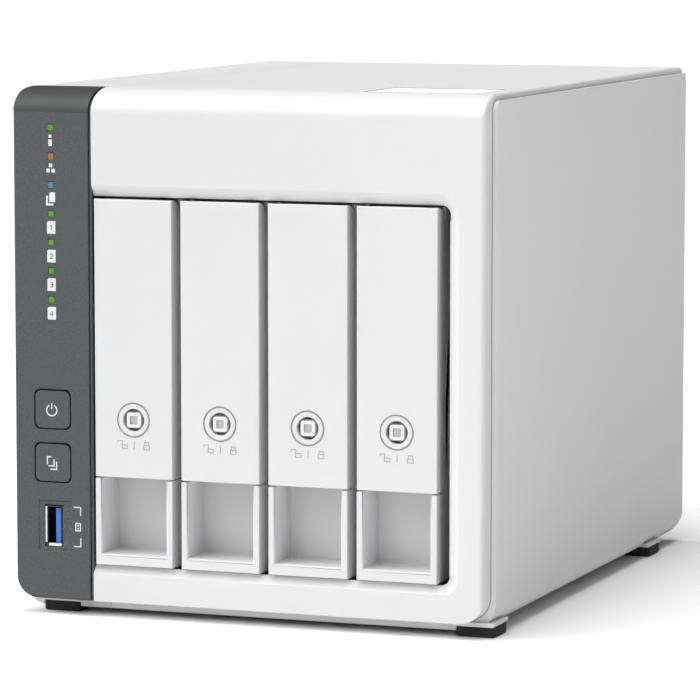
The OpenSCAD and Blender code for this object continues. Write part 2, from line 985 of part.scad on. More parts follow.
// A square push button whose collar stays behind the bezel
module button(z) {
    window_size = button_size + 2 * button_gap;
    back = front_y + front_t + 0.3;
    color("dimgray") {
        along_y(front_y + 0.05, back) square_outline(strip_mid_x, z, button_size, button_r);
        along_y(back, back + 1) square_outline(strip_mid_x, z, window_size + 1.2, button_r);
        along_y(back, stem_end_y) square_outline(strip_mid_x, z, stem_size, 0.5);
    }
}

module power_button() {
    button(power_z);
}

module copy_button() {
    button(copy_z);
}

module reset_button() {
    color("black")
    bar_y([reset_x, panel_y0 - reset_back, reset_z], reset_pin_r, reset_len);
}

// ---- Ports ----

// A USB port's metal shell, standing on edge, with its mouth at mouth_y facing side (-1 or 1) in Y
module usb_shell(x, z, mouth_y, side) {
    half = [usb_t / 2, usb_w / 2];
    y0 = side < 0 ? mouth_y : mouth_y - usb_d;
    along_y(y0, y0 + usb_d) difference() {
        translate([x, z] - half) square(2 * half);
        translate([x, z] - half + [usb_wall, usb_wall]) square(2 * half - 2 * [usb_wall, usb_wall]);
    }
}

// The moulded block at the port's inner end and its tongue
module usb_tongue(x, z, mouth_y, side) {
    half = [usb_t / 2 - usb_wall, usb_w / 2 - usb_wall];
    end_y = mouth_y - side * (usb_d - carrier_d);
    tip_y = mouth_y - side * tongue_in;
    root_y = mouth_y - side * usb_d;
    along_y(min(root_y, end_y), max(root_y, end_y)) translate([x, z] - half) square(2 * half);
    along_y(min(end_y, tip_y), max(end_y, tip_y))
        translate([x + half.x - tongue_t - tongue_gap, z - half.y + tongue_rim])
        square([tongue_t, 2 * (half.y - tongue_rim)]);
}

module front_usb_shell() {
    color("silver") usb_shell(strip_mid_x, front_usb_z, front_y + mouth_in, -1);
}

module front_usb_tongue() {
    color("royalblue") usb_tongue(strip_mid_x, front_usb_z, front_y + mouth_in, -1);
}

module rear_usb_shells() {
    color("silver")
    for (i = [0 : 1]) {
        usb_shell(rear_usb_x, rear_usb_z + i * port_step, panel_y1 + port_proud, 1);
    }
}

module rear_usb_tongues() {
    color("black")
    for (i = [0 : 1]) {
        usb_tongue(rear_usb_x, rear_usb_z + i * port_step, panel_y1 + port_proud, 1);
    }
}

module network_jacks() {
    y1 = panel_y1 + port_proud;
    x_mid = board_face_x + jack_t / 2;
    color("silver")
    for (i = [0 : jack_count - 1]) {
        z = jack_z + i * jack_pitch;
        difference() {
            block([board_face_x, y1 - jack_d, z - jack_w / 2], [board_face_x + jack_t, y1, z + jack_w / 2]);
            block([board_face_x + jack_wall, y1 - jack_hole_d, z - jack_hole_w / 2],
                  [board_face_x + jack_wall + jack_hole_t, y1 + cut, z + jack_hole_w / 2]);
            block([x_mid, y1 - jack_hole_d + 3, z - jack_key_w / 2],
                  [board_face_x + jack_t - jack_wall, y1 + cut, z + jack_key_w / 2]);
        }
    }
}

module power_inlet() {
    y1 = panel_y1 + port_proud;
    color("black")
    difference() {
        block([board_face_x, y1 - dc_d, dc_z - dc_size / 2], [board_face_x + dc_t, y1, dc_z + dc_size / 2]);
        bar_y([board_face_x + dc_t / 2, y1 - dc_bore_d, dc_z], dc_r, dc_bore_d + cut);
    }
}

module inlet_pin() {
    color("silver")
    bar_y([board_face_x + dc_t / 2, panel_y1 + port_proud - dc_bore_d, dc_z], dc_pin_r, dc_bore_d - 1);
}

// ---- Fan ----

module fan_frame() {
    color("black")
    difference() {
        union() {
            for (y = [fan_y0, fan_y1 - fan_flange]) {
                along_y(y, y + fan_flange) square_outline(fan_x, fan_z, fan_size, fan_corner_r);
            }
            bar_y([fan_x, fan_y0, fan_z], fan_bore_r + duct_t, fan_d);
        }
        difference() {
            bar_y([fan_x, fan_y0 - cut, fan_z], fan_bore_r, fan_d + 2 * cut);
            bar_y([fan_x, fan_y1 - strut_t, fan_z], hub_r + 1, strut_t);
            bar_y([fan_x, fan_y0 + bearing_in, fan_z], bearing_r, fan_d - bearing_in);
            for (a = [45 : 90 : 315]) {
                translate([fan_x, 0, fan_z]) rotate([0, a, 0])
                    block([0, fan_y1 - strut_t, -strut_w / 2], [fan_bore_r, fan_y1, strut_w / 2]);
            }
        }
        bar_y([fan_x, fan_y0 - cut, fan_z], shaft_r + shaft_play, fan_d + 2 * cut);
        for (sx = [-1, 1], sz = [-1, 1]) {
            bar_y([fan_x + sx * fan_hole, fan_y0 - cut, fan_z + sz * fan_hole], fan_screw_r + 0.05,
                  fan_d + 2 * cut);
        }
    }
}

module fan_rotor() {
    cup_d = fan_d - strut_t - 2;
    color("dimgray")
    translate([fan_x, fan_y0 + 1, fan_z]) {
        difference() {
            bar_y([0, 0, 0], hub_r, cup_d);
            bar_y([0, cup_wall, 0], hub_r - cup_wall, cup_d);
        }
        bar_y([0, 0, 0], shaft_r, fan_d - 2);
        for (i = [0 : blade_count - 1]) {
            rotate([0, i * 360 / blade_count, 0]) fan_blade(cup_d);
        }
    }
}

// One blade: a pitched plate trimmed to the hub and to the sweep
module fan_blade(depth) {
    intersection() {
        difference() {
            bar_y([0, 0.6, 0], blade_r, depth - 1.2);
            bar_y([0, -cut, 0], hub_r - cup_wall / 2, depth + 2 * cut);
        }
        translate([0, depth / 2, 0]) rotate([blade_pitch, 0, 0])
            block([0, -blade_chord / 2, -blade_t / 2], [blade_r + cut, blade_chord / 2, blade_t / 2]);
    }
}

module fan_screws() {
    color("silver")
    for (sx = [-1, 1], sz = [-1, 1]) {
        place = [fan_x + sx * fan_hole, panel_y1 - fan_screw_len, fan_z + sz * fan_hole];
        bar_y(place, fan_screw_r, fan_screw_len + head_t);
        bar_y([place.x, panel_y1, place.z], fan_screw_r + fan_head_more, head_t);
    }
}

// Short cable from the fan through the cage wall to its header on the main board
module fan_cable() {
    header_x = board_face_x + header_t;
    color("black") {
        bar_x([header_x - 1, cable_y, cable_z], cable_r, fan_x - fan_size / 2 - header_x + 1);
        block([board_face_x, cable_y - header_half.x, cable_z - header_half.y],
              [header_x, cable_y + header_half.x, cable_z + header_half.y]);
    }
}

module rear_screws() {
    color("silver")
    for (p = concat(cover_left_screws, cover_top_screws, cover_right_screws)) {
        bar_y([p.x, panel_y1, p.y], head_r, head_t);
        bar_y([p.x, panel_y1 - rear_screw_len, p.y], screw_r, rear_screw_len + head_t);
    }
}

// ---- Trays ----

// Frame of tray i: front box with the finger grip, bulkhead, two rails and a side plate
module tray_frame(i) {
    x0 = tray_x(i);
    x1 = x0 + tray_w;
    box_y1 = front_y + tray_front_d;
    bulk_y = front_y + grip_d;
    wall_y = front_y + flap_d + flap_gap;
    color("white")
    difference() {
        union() {
            difference() {
                block([x0, front_y, tray_z], [x1, box_y1, grip_top_z]);
                block([x0 + grip_wall, front_y - cut, tray_z + rail_inset],
                      [x1 - grip_wall, bulk_y, grip_top_z + cut]);
            }
            block([x0, bulk_y, tray_z], [x1, box_y1, tray_top_z]);
            block([x0, wall_y, grip_top_z - cut], [x0 + flap_wall, box_y1, tray_top_z]);
            block([x1 - flap_wall, wall_y, grip_top_z - cut], [x1, box_y1, tray_top_z]);
            for (z = [rail_z, upper_rail_z]) {
                block([x0, box_y1 - cut, z], [x0 + tray_back_w, drive_end_y, z + rail_t]);
            }
            block([x0 + tray_back_w - plate_t, box_y1 - plate_t, rail_z],
                  [x0 + tray_back_w, drive_end_y, rail_top_z]);
            for (x = ear_xs) {
                hinge_ear(x0 + x, bulk_y);
            }
        }
        for (z = [flap_z + lock_rise + slot_rise : vent_step : tray_top_z - slot_drop]) {
            block([x0 + slot_in, bulk_y - cut, z], [x1 - slot_in, box_y1 + cut, z + slot_h]);
        }
        for (y = window_ys) {
            block([x0 + tray_back_w - plate_t - cut, y, drive_z + window_rim],
                  [x0 + tray_back_w + cut, y + window_w, drive_z + drive_h - window_rim]);
        }
        block([x1 - flap_wall - cut, cam_y - cam_gap, lock_z - cam_room_low],
              [x1 + cut, cam_y + cam_t + cam_gap, lock_z + cam_room_high]);
        bar_x([x0, pivot_y, pivot_z], pin_r, tray_w);
        clip_slots(x0);
    }
}

// An ear that reaches into the handle and carries the hinge pin
module hinge_ear(x, y1) {
    bar_x([x, pivot_y, pivot_z], ear_r, ear_t);
    block([x, pivot_y, pivot_z - ear_r], [x + ear_t, y1 + cut, pivot_z + ear_r]);
}

// Slots in the rails' outer faces for the clips, with holes for their pins
module clip_slots(x0) {
    x = x0 + clip_x - clip_w / 2 - clip_play;
    y = clip_ys[0] - clip_end - clip_play;
    x1 = x + clip_w + 2 * clip_play;
    y1 = y + clip_len + 2 * clip_play;
    block([x, y, rail_z - cut], [x1, y1, rail_z + clip_t]);
    block([x, y, rail_top_z - clip_t], [x1, y1, rail_top_z + cut]);
    for (cy = clip_ys) {
        translate([x0 + clip_x, cy, rail_z]) cylinder(r = clip_hole_r, h = rail_t + cut);
        translate([x0 + clip_x, cy, upper_rail_z - cut]) cylinder(r = clip_hole_r, h = rail_t + cut);
    }
}

// A pair of clips whose pins hold the drive without screws
module drive_clips(i) {
    x = tray_x(i) + clip_x - clip_w / 2;
    y = clip_ys[0] - clip_end;
    low = rail_z + clip_play;
    high = rail_top_z - clip_play;
    pin_len = rail_t - clip_play + drive_gap + clip_bite;
    color("gray") {
        block([x, y, low], [x + clip_w, y + clip_len, rail_z + clip_t]);
        block([x, y, rail_top_z - clip_t], [x + clip_w, y + clip_len, high]);
        for (cy = clip_ys) {
            translate([tray_x(i) + clip_x, cy, low]) cylinder(r = clip_pin_r, h = pin_len);
            translate([tray_x(i) + clip_x, cy, high - pin_len]) cylinder(r = clip_pin_r, h = pin_len);
        }
    }
}

// The handle's side outline in (y, z), drawn in by margin and open to the back when hollow
module flap_outline() {
    centre = [front_y + flap_d - flap_r, tray_top_z - flap_r];
    nose_r = centre.x - front_y;
    translate([front_y, flap_z]) square([flap_d, centre.y - flap_z]);
    translate([front_y, centre.y]) square([nose_r, flap_r - nose_r]);
    translate([centre.x, tray_top_z - nose_r]) circle(nose_r);
    intersection() {
        translate(centre) circle(flap_r);
        translate(centre) square(flap_r);
    }
}

module flap_hollow_outline() {
    centre = [front_y + flap_d - flap_r, tray_top_z - flap_r];
    inner_y = front_y + flap_wall;
    translate([inner_y, flap_z + flap_wall]) square([flap_d, centre.y - flap_z - flap_wall]);
    intersection() {
        translate(centre) circle(flap_r - flap_wall);
        translate([inner_y, centre.y - 1]) square(flap_r + 1);
    }
}

// Handle flap of tray i, hinged near its upper edge
module tray_handle(i) {
    x0 = tray_x(i);
    x1 = x0 + tray_w;
    mid_x = x0 + tray_w / 2;
    color("white")
    difference() {
        union() {
            difference() {
                along_x(x0, x1) flap_outline();
                along_x(x0 + flap_wall, x1 - flap_wall) flap_hollow_outline();
            }
            bar_y([mid_x, front_y, lock_z], lock_boss_r, lock_boss_d);
            for (rise = stiffener_zs) {
                z = lock_z + rise;
                block([x0 + flap_wall / 2, front_y + flap_wall / 2, z],
                      [x1 - flap_wall / 2, front_y + stiffener_d, z + stiffener_t]);
            }
        }
        for (x = ear_xs) {
            block([x0 + x - ear_gap, front_y + ear_wall, tray_top_z - flap_r - 1],
                  [x0 + x + ear_t + ear_gap, front_y + flap_d + cut, tray_top_z + cut]);
        }
        bar_x([x0 - cut, pivot_y, pivot_z], pin_r + pin_play, tray_w + cut - pin_stop);
        bar_y([mid_x, front_y - cut, lock_z], lock_r, flap_d + 2 * cut);
        difference() {
            bar_y([mid_x, front_y - cut, lock_z], ring_r, cut + ring_groove);
            bar_y([mid_x, front_y - 2 * cut, lock_z], ring_r - ring_groove, 3 * cut + ring_groove);
        }
    }
}

module handle_pin(i) {
    color("silver")
    bar_x([tray_x(i) + seam, pivot_y, pivot_z], pin_r, tray_w - pin_stop - 2 * seam);
}

// Key lock of tray i: a core in the handle's well, with a cam behind
module tray_lock(i) {
    x = tray_x(i) + tray_w / 2;
    y0 = front_y + well_d;
    color("gray")
    difference() {
        union() {
            bar_y([x, y0, lock_z], lock_r - lock_play, cam_y - y0);
            bar_y([x, front_y + lock_boss_d + collar_gap, lock_z], lock_boss_r - collar_in, collar_t);
            along_y(front_y + key_in, y0 + seam) square_outline(x, lock_z, key_size, key_r);
            block([x - cam_w / 2, cam_y, lock_z - cam_w / 2],
                  [x + cam_w / 2, cam_y + cam_t, lock_z + cam_len]);
        }
        along_y(front_y - cut, front_y + key_d) square_outline(x, lock_z, key_hole, key_hole_r);
    }
}

// A 3.5-inch drive standing on its long edge, connector to the back
module drive(i) {
    x0 = tray_x(i) + 0.1;
    x1 = x0 + drive_w;
    z1 = drive_z + drive_h;
    socket = tray_x(i) + socket_x;
    color("darkgray")
    difference() {
        block([x0, drive_y, drive_z], [x1, drive_end_y, z1]);
        block([x1 - pocket_d, drive_y + drive_d / 2, drive_z + pocket_rim],
              [x1 + cut, drive_end_y - pocket_end, z1 - pocket_rim]);
        for (z = [drive_z - cut, z1 - ledge_h]) {
            block([x0 - cut, drive_y - cut, z],
                  [x0 + ledge_d, drive_end_y + cut, z + ledge_h + cut]);
        }
        block([socket, drive_end_y - socket_depth, drive_z + socket_z],
              [socket + sata_w, drive_end_y + cut, drive_z + socket_z + sata_len]);
        for (y = clip_ys) {
            translate([tray_x(i) + clip_x, y, drive_z - cut]) cylinder(r = clip_hole_r, h = cut + bite_d);
            translate([tray_x(i) + clip_x, y, z1 - bite_d]) cylinder(r = clip_hole_r, h = cut + bite_d);
        }
    }
}

main_cover();
left_cover();
right_cover();
control_strip();
rear_panel();
top_label();
rubber_feet();
drive_cage();
bay_rails();
backplane_board();
sata_connectors();
main_board();
board_chips();
heatsink();
clock_battery();
board_standoffs();
board_screws();
front_board();
light_pipes();
button_switches();
front_usb_shell();
front_usb_tongue();
rear_usb_shells();
rear_usb_tongues();
network_jacks();
power_inlet();
inlet_pin();
fan_frame();
fan_screws();
fan_cable();
rear_screws();
fan_rotor();
power_button();
copy_button();
reset_button();
tray_frame(0);  // tray_frame_1
tray_handle(0);  // tray_handle_1
handle_pin(0);  // handle_pin_1
tray_lock(0);  // tray_lock_1
drive_clips(0);  // drive_clips_1
drive(0);  // drive_1
tray_frame(1);  // tray_frame_2
tray_handle(1);  // tray_handle_2
handle_pin(1);  // handle_pin_2
tray_lock(1);  // tray_lock_2
drive_clips(1);  // drive_clips_2
drive(1);  // drive_2
tray_frame(2);  // tray_frame_3
tray_handle(2);  // tray_handle_3
handle_pin(2);  // handle_pin_3
tray_lock(2);  // tray_lock_3
drive_clips(2);  // drive_clips_3
drive(2);  // drive_3
tray_frame(3);  // tray_frame_4
tray_handle(3);  // tray_handle_4
handle_pin(3);  // handle_pin_4
tray_lock(3);  // tray_lock_4
drive_clips(3);  // drive_clips_4
drive(3);  // drive_4
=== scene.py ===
"""Looks for a four-bay desktop network attached storage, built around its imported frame.

Lengths in the classes are in millimetres and become metres in the mesh tools. Positions come
from the boxes of the frame's nodes.
"""
import json
import logging
import math
from collections.abc import Callable, Iterable, Sequence
from dataclasses import dataclass
from enum import Enum

import bmesh
import bpy
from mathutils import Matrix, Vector

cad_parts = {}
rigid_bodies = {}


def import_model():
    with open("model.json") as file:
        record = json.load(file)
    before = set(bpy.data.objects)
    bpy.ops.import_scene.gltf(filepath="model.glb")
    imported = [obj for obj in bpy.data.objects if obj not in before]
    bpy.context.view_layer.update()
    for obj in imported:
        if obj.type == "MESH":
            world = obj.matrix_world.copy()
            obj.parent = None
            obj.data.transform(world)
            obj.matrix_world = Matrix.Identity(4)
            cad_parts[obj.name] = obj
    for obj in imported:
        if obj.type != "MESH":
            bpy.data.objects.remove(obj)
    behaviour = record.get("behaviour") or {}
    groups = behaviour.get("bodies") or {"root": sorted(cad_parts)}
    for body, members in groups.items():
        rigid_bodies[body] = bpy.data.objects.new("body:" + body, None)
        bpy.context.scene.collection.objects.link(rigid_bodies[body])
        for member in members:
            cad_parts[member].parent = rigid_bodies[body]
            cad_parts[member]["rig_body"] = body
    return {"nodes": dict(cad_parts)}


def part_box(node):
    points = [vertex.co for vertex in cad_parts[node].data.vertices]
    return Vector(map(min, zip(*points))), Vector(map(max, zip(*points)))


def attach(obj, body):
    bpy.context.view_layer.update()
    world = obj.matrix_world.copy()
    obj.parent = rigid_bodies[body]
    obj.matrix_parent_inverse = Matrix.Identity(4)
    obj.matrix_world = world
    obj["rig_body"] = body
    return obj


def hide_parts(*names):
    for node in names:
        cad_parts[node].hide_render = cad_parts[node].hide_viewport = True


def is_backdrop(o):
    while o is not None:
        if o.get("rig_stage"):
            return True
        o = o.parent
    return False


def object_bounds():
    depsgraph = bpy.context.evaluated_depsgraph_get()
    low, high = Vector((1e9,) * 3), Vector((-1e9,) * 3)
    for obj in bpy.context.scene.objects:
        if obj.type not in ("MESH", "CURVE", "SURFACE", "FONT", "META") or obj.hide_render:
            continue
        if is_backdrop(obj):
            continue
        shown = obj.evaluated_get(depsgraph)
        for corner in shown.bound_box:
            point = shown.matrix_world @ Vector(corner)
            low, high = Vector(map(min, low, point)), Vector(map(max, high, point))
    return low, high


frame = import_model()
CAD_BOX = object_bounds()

log = logging.getLogger("storage_looks")
MM = 0.001
BAYS = (1, 2, 3, 4)
BUMP_STRENGTH = 0.7
# The gloss drifts over patches that are coarser than the grain.
GLOSS_PATCH = 3
Point = tuple[float, float]
Outline = list[Point]
Socket = bpy.types.NodeSocket
Tree = bpy.types.NodeTree


# ---------------------------------------------------------------- colour and shader nodes


def linear(hex_colour: str) -> tuple[float, float, float, float]:
    """Turn an sRGB hex colour into linear light.

    Args:
        hex_colour: Six hex digits, such as "EDEDEC".

    Returns:
        Linear red, green, blue and an alpha of 1.
    """
    parts = [int(hex_colour[i : i + 2], 16) / 255 for i in (0, 2, 4)]
    r, g, b = (p / 12.92 if p <= 0.04045 else ((p + 0.055) / 1.055) ** 2.4 for p in parts)
    return (r, g, b, 1.0)


def add_node(tree: Tree, kind: str, settings: dict | None = None, inputs: dict | None = None,
             links: dict | None = None) -> bpy.types.Node:
    """Add one shader node with its settings and links.

    Args:
        tree: The node tree that takes the node.
        kind: The node's type name.
        settings: Attributes of the node.
        inputs: Values of its input sockets, by name or number.
        links: Output sockets that feed its input sockets, by name or number.

    Returns:
        The new node.
    """
    node = tree.nodes.new(kind)
    for name, value in (settings or {}).items():
        setattr(node, name, value)
    for name, value in (inputs or {}).items():
        node.inputs[name].default_value = value
    for name, source in (links or {}).items():
        tree.links.new(source, node.inputs[name])
    return node


# ---------------------------------------------------------------- finishes


@dataclass(frozen=True)
class Finish:
    """A real material and how its surface was made: fine grain, uneven gloss, slight drift of colour."""

    name: str
    slot: str
    colour: str
    roughness: float
    metallic: float = 0.0
    ior: float = 1.5
    coat: float = 0.0
    glow: float = 0.0
    grain_mm: float = 0.4
    grain_depth_mm: float = 0.01
    gloss_play: float = 0.05
    tint: str = ""
    tint_mm: float = 30.0
    stretch: tuple[float, float, float] = (1.0, 1.0, 1.0)

    def shader(self, tree: Tree) -> bpy.types.Node:
        """Add the principled shader with the values that are the same all over.

        Args:
            tree: The material's node tree.

        Returns:
            The principled shader, linked to the output.
        """
        values = {"Base Color": linear(self.colour), "Roughness": self.roughness, "Metallic": self.metallic}
        if self.metallic < 1.0:
            values["IOR"] = self.ior
        if self.coat > 0.0:
            values["Coat Weight"] = self.coat
        if self.glow > 0.0:
            values["Emission Color"] = linear(self.colour)
            values["Emission Strength"] = self.glow
        shader = add_node(tree, "ShaderNodeBsdfPrincipled", inputs=values)
        add_node(tree, "ShaderNodeOutputMaterial", links={"Surface": shader.outputs["BSDF"]})
        return shader

    def noise(self, tree: Tree, place: Socket, size_mm: float, detail: float = 2.0) -> Socket:
        """Add a noise pattern.

        Args:
            tree: The material's node tree.
            place: Coordinates in metres.
            size_mm: Size of the pattern's cells.
            detail: How many finer layers it has.

        Returns:
            Values from 0 to 1.
        """
        node = add_node(tree, "ShaderNodeTexNoise", inputs={"Scale": 1 / (size_mm * MM), "Detail": detail},
                        links={"Vector": place})
        return node.outputs["Fac"]

    def ramp(self, tree: Tree, value: Socket, low: float, high: float, to_low: float = 0.0,
             to_high: float = 1.0) -> Socket:
        """Map a range of a pattern's values to another range.

        Args:
            tree: The material's node tree.
            value: The pattern.
            low: Value that becomes to_low.
            high: Value that becomes to_high.
            to_low: Start of the new range.
            to_high: End of the new range.

        Returns:
            The mapped values.
        """
        node = add_node(tree, "ShaderNodeMapRange", links={"Value": value}, inputs={
            "From Min": low, "From Max": high, "To Min": to_low, "To Max": to_high,
        })
        return node.outputs["Result"]

    def mix(self, tree: Tree, factor: Socket, low: Socket | str, high: Socket | str) -> Socket:
        """Mix two colours by a pattern.

        Args:
            tree: The material's node tree.
            factor: The pattern.
            low: Colour where it is 0, as a socket or a hex colour.
            high: Colour where it is 1, as a socket or a hex colour.

        Returns:
            The mixed colour.
        """
        node = add_node(tree, "ShaderNodeMix", {"data_type": "RGBA"}, links={0: factor})
        for socket, colour in ((node.inputs[6], low), (node.inputs[7], high)):
            if isinstance(colour, str):
                socket.default_value = linear(colour)
            else:
                tree.links.new(colour, socket)
        return node.outputs[2]

    def height(self, tree: Tree, place: Socket) -> Socket:
        """Give the height of the surface's grain.

        Args:
            tree: The material's node tree.
            place: Object coordinates in metres.

        Returns:
            Heights from 0 to 1.
        """
        return self.noise(tree, place, self.grain_mm)

    def tone(self, tree: Tree, place: Socket) -> Socket | None:
        """Give the colour where it varies over the surface.

        Args:
            tree: The material's node tree.
            place: Object coordinates in metres.

        Returns:
            The colour, or None where it is the same all over.
        """
        if not self.tint:
            return None
        return self.mix(tree, self.noise(tree, place, self.tint_mm), self.colour, self.tint)

    def build(self) -> bpy.types.Material:
        """Make the material.

        Returns:
            The finished material.
        """
        material = bpy.data.materials.new(self.name)
        material.use_nodes = True
        tree = material.node_tree
        tree.nodes.clear()
        shader = self.shader(tree)
        coords = add_node(tree, "ShaderNodeTexCoord").outputs["Object"]
        place = add_node(tree, "ShaderNodeMapping", inputs={"Scale": self.stretch}, links={"Vector": coords})
        place = place.outputs["Vector"]
        height = self.height(tree, place)
        bump = add_node(tree, "ShaderNodeBump", links={"Height": height},
                        inputs={"Strength": BUMP_STRENGTH, "Distance": self.grain_depth_mm * MM})
        tree.links.new(bump.outputs["Normal"], shader.inputs["Normal"])
        gloss = self.ramp(tree, self.noise(tree, place, GLOSS_PATCH * self.grain_mm), 0.25, 0.75,
                          self.roughness - self.gloss_play, self.roughness + self.gloss_play)
        tree.links.new(gloss, shader.inputs["Roughness"])
        tone = self.tone(tree, place)
        if tone:
            tree.links.new(tone, shader.inputs["Base Color"])
        return material


@dataclass(frozen=True)
class Flecked(Finish):
    """Moulded plastic with fine pale pigment flecks in a dark base."""

    fleck: str = "6A6C6E"
    fleck_mm: float = 0.24
    share: float = 0.62

    def tone(self, tree: Tree, place: Socket) -> Socket:
        """Scatter the flecks over a slightly cloudy base.

        Args:
            tree: The material's node tree.
            place: Object coordinates in metres.

        Returns:
            The colour.
        """
        base = self.mix(tree, self.noise(tree, place, self.tint_mm), self.colour, self.tint)
        flecks = self.ramp(tree, self.noise(tree, place, self.fleck_mm, 0.0), self.share, self.share + 0.1)
        return self.mix(tree, flecks, base, self.fleck)


@dataclass(frozen=True)
class Galvanised(Finish):
    """Zinc-coated sheet steel with its crystal spangle."""

    # Zinc crystals are coarser than most grain, about 6 mm across.
    spangle_mm: float = 6.0

    def tone(self, tree: Tree, place: Socket) -> Socket:
        """Give each zinc crystal its own shade.

        Args:
            tree: The material's node tree.
            place: Object coordinates in metres.

        Returns:
            The colour.
        """
        cells = add_node(tree, "ShaderNodeTexVoronoi", inputs={"Scale": 1 / (self.spangle_mm * MM)},
                         links={"Vector": place})
        shade = add_node(tree, "ShaderNodeSeparateColor", links={"Color": cells.outputs["Color"]})
        return self.mix(tree, shade.outputs["Red"], self.colour, self.tint)


@dataclass(frozen=True)
class SolderMask(Finish):
    """Green lacquer over etched copper: raised traces, and tinned vias in rows."""

    trace_mm: float = 2.4
    trace_w: float = 0.02
    trace_gap: float = 0.045
    via_mm: float = 5.0
    via_r: float = 0.07
    via_play: float = 0.7
    via: str = "B9B49A"

    def traces(self, tree: Tree, place: Socket) -> Socket:
        """Give the raised traces.

        Args:
            tree: The material's node tree.
            place: Object coordinates in metres.

        Returns:
            1 on a trace and 0 beside it.
        """
        cells = add_node(tree, "ShaderNodeTexVoronoi", {"distance": "CHEBYCHEV", "feature": "F1"},
                         inputs={"Scale": 1 / (self.trace_mm * 4 * MM)}, links={"Vector": place})
        rings = add_node(tree, "ShaderNodeMath", {"operation": "PINGPONG"}, inputs={1: self.trace_gap},
                         links={0: cells.outputs["Distance"]})
        return self.ramp(tree, rings.outputs["Value"], self.trace_w, self.trace_w + 0.006)

    def height(self, tree: Tree, place: Socket) -> Socket:
        """Raise the lacquer over the traces.

        Args:
            tree: The material's node tree.
            place: Object coordinates in metres.

        Returns:
            Heights from 0 to 1.
        """
        return self.traces(tree, place)

    def tone(self, tree: Tree, place: Socket) -> Socket:
        """Show the copper through the lacquer, and the bare vias.

        Args:
            tree: The material's node tree.
            place: Object coordinates in metres.

        Returns:
            The colour.
        """
        lacquer = self.mix(tree, self.traces(tree, place), self.colour, self.tint)
        dots = add_node(tree, "ShaderNodeTexVoronoi", links={"Vector": place},
                        inputs={"Scale": 1 / (self.via_mm * MM), "Randomness": self.via_play})
        spots = self.ramp(tree, dots.outputs["Distance"], self.via_r + 0.03, self.via_r)
        return self.mix(tree, spots, lacquer, self.via)


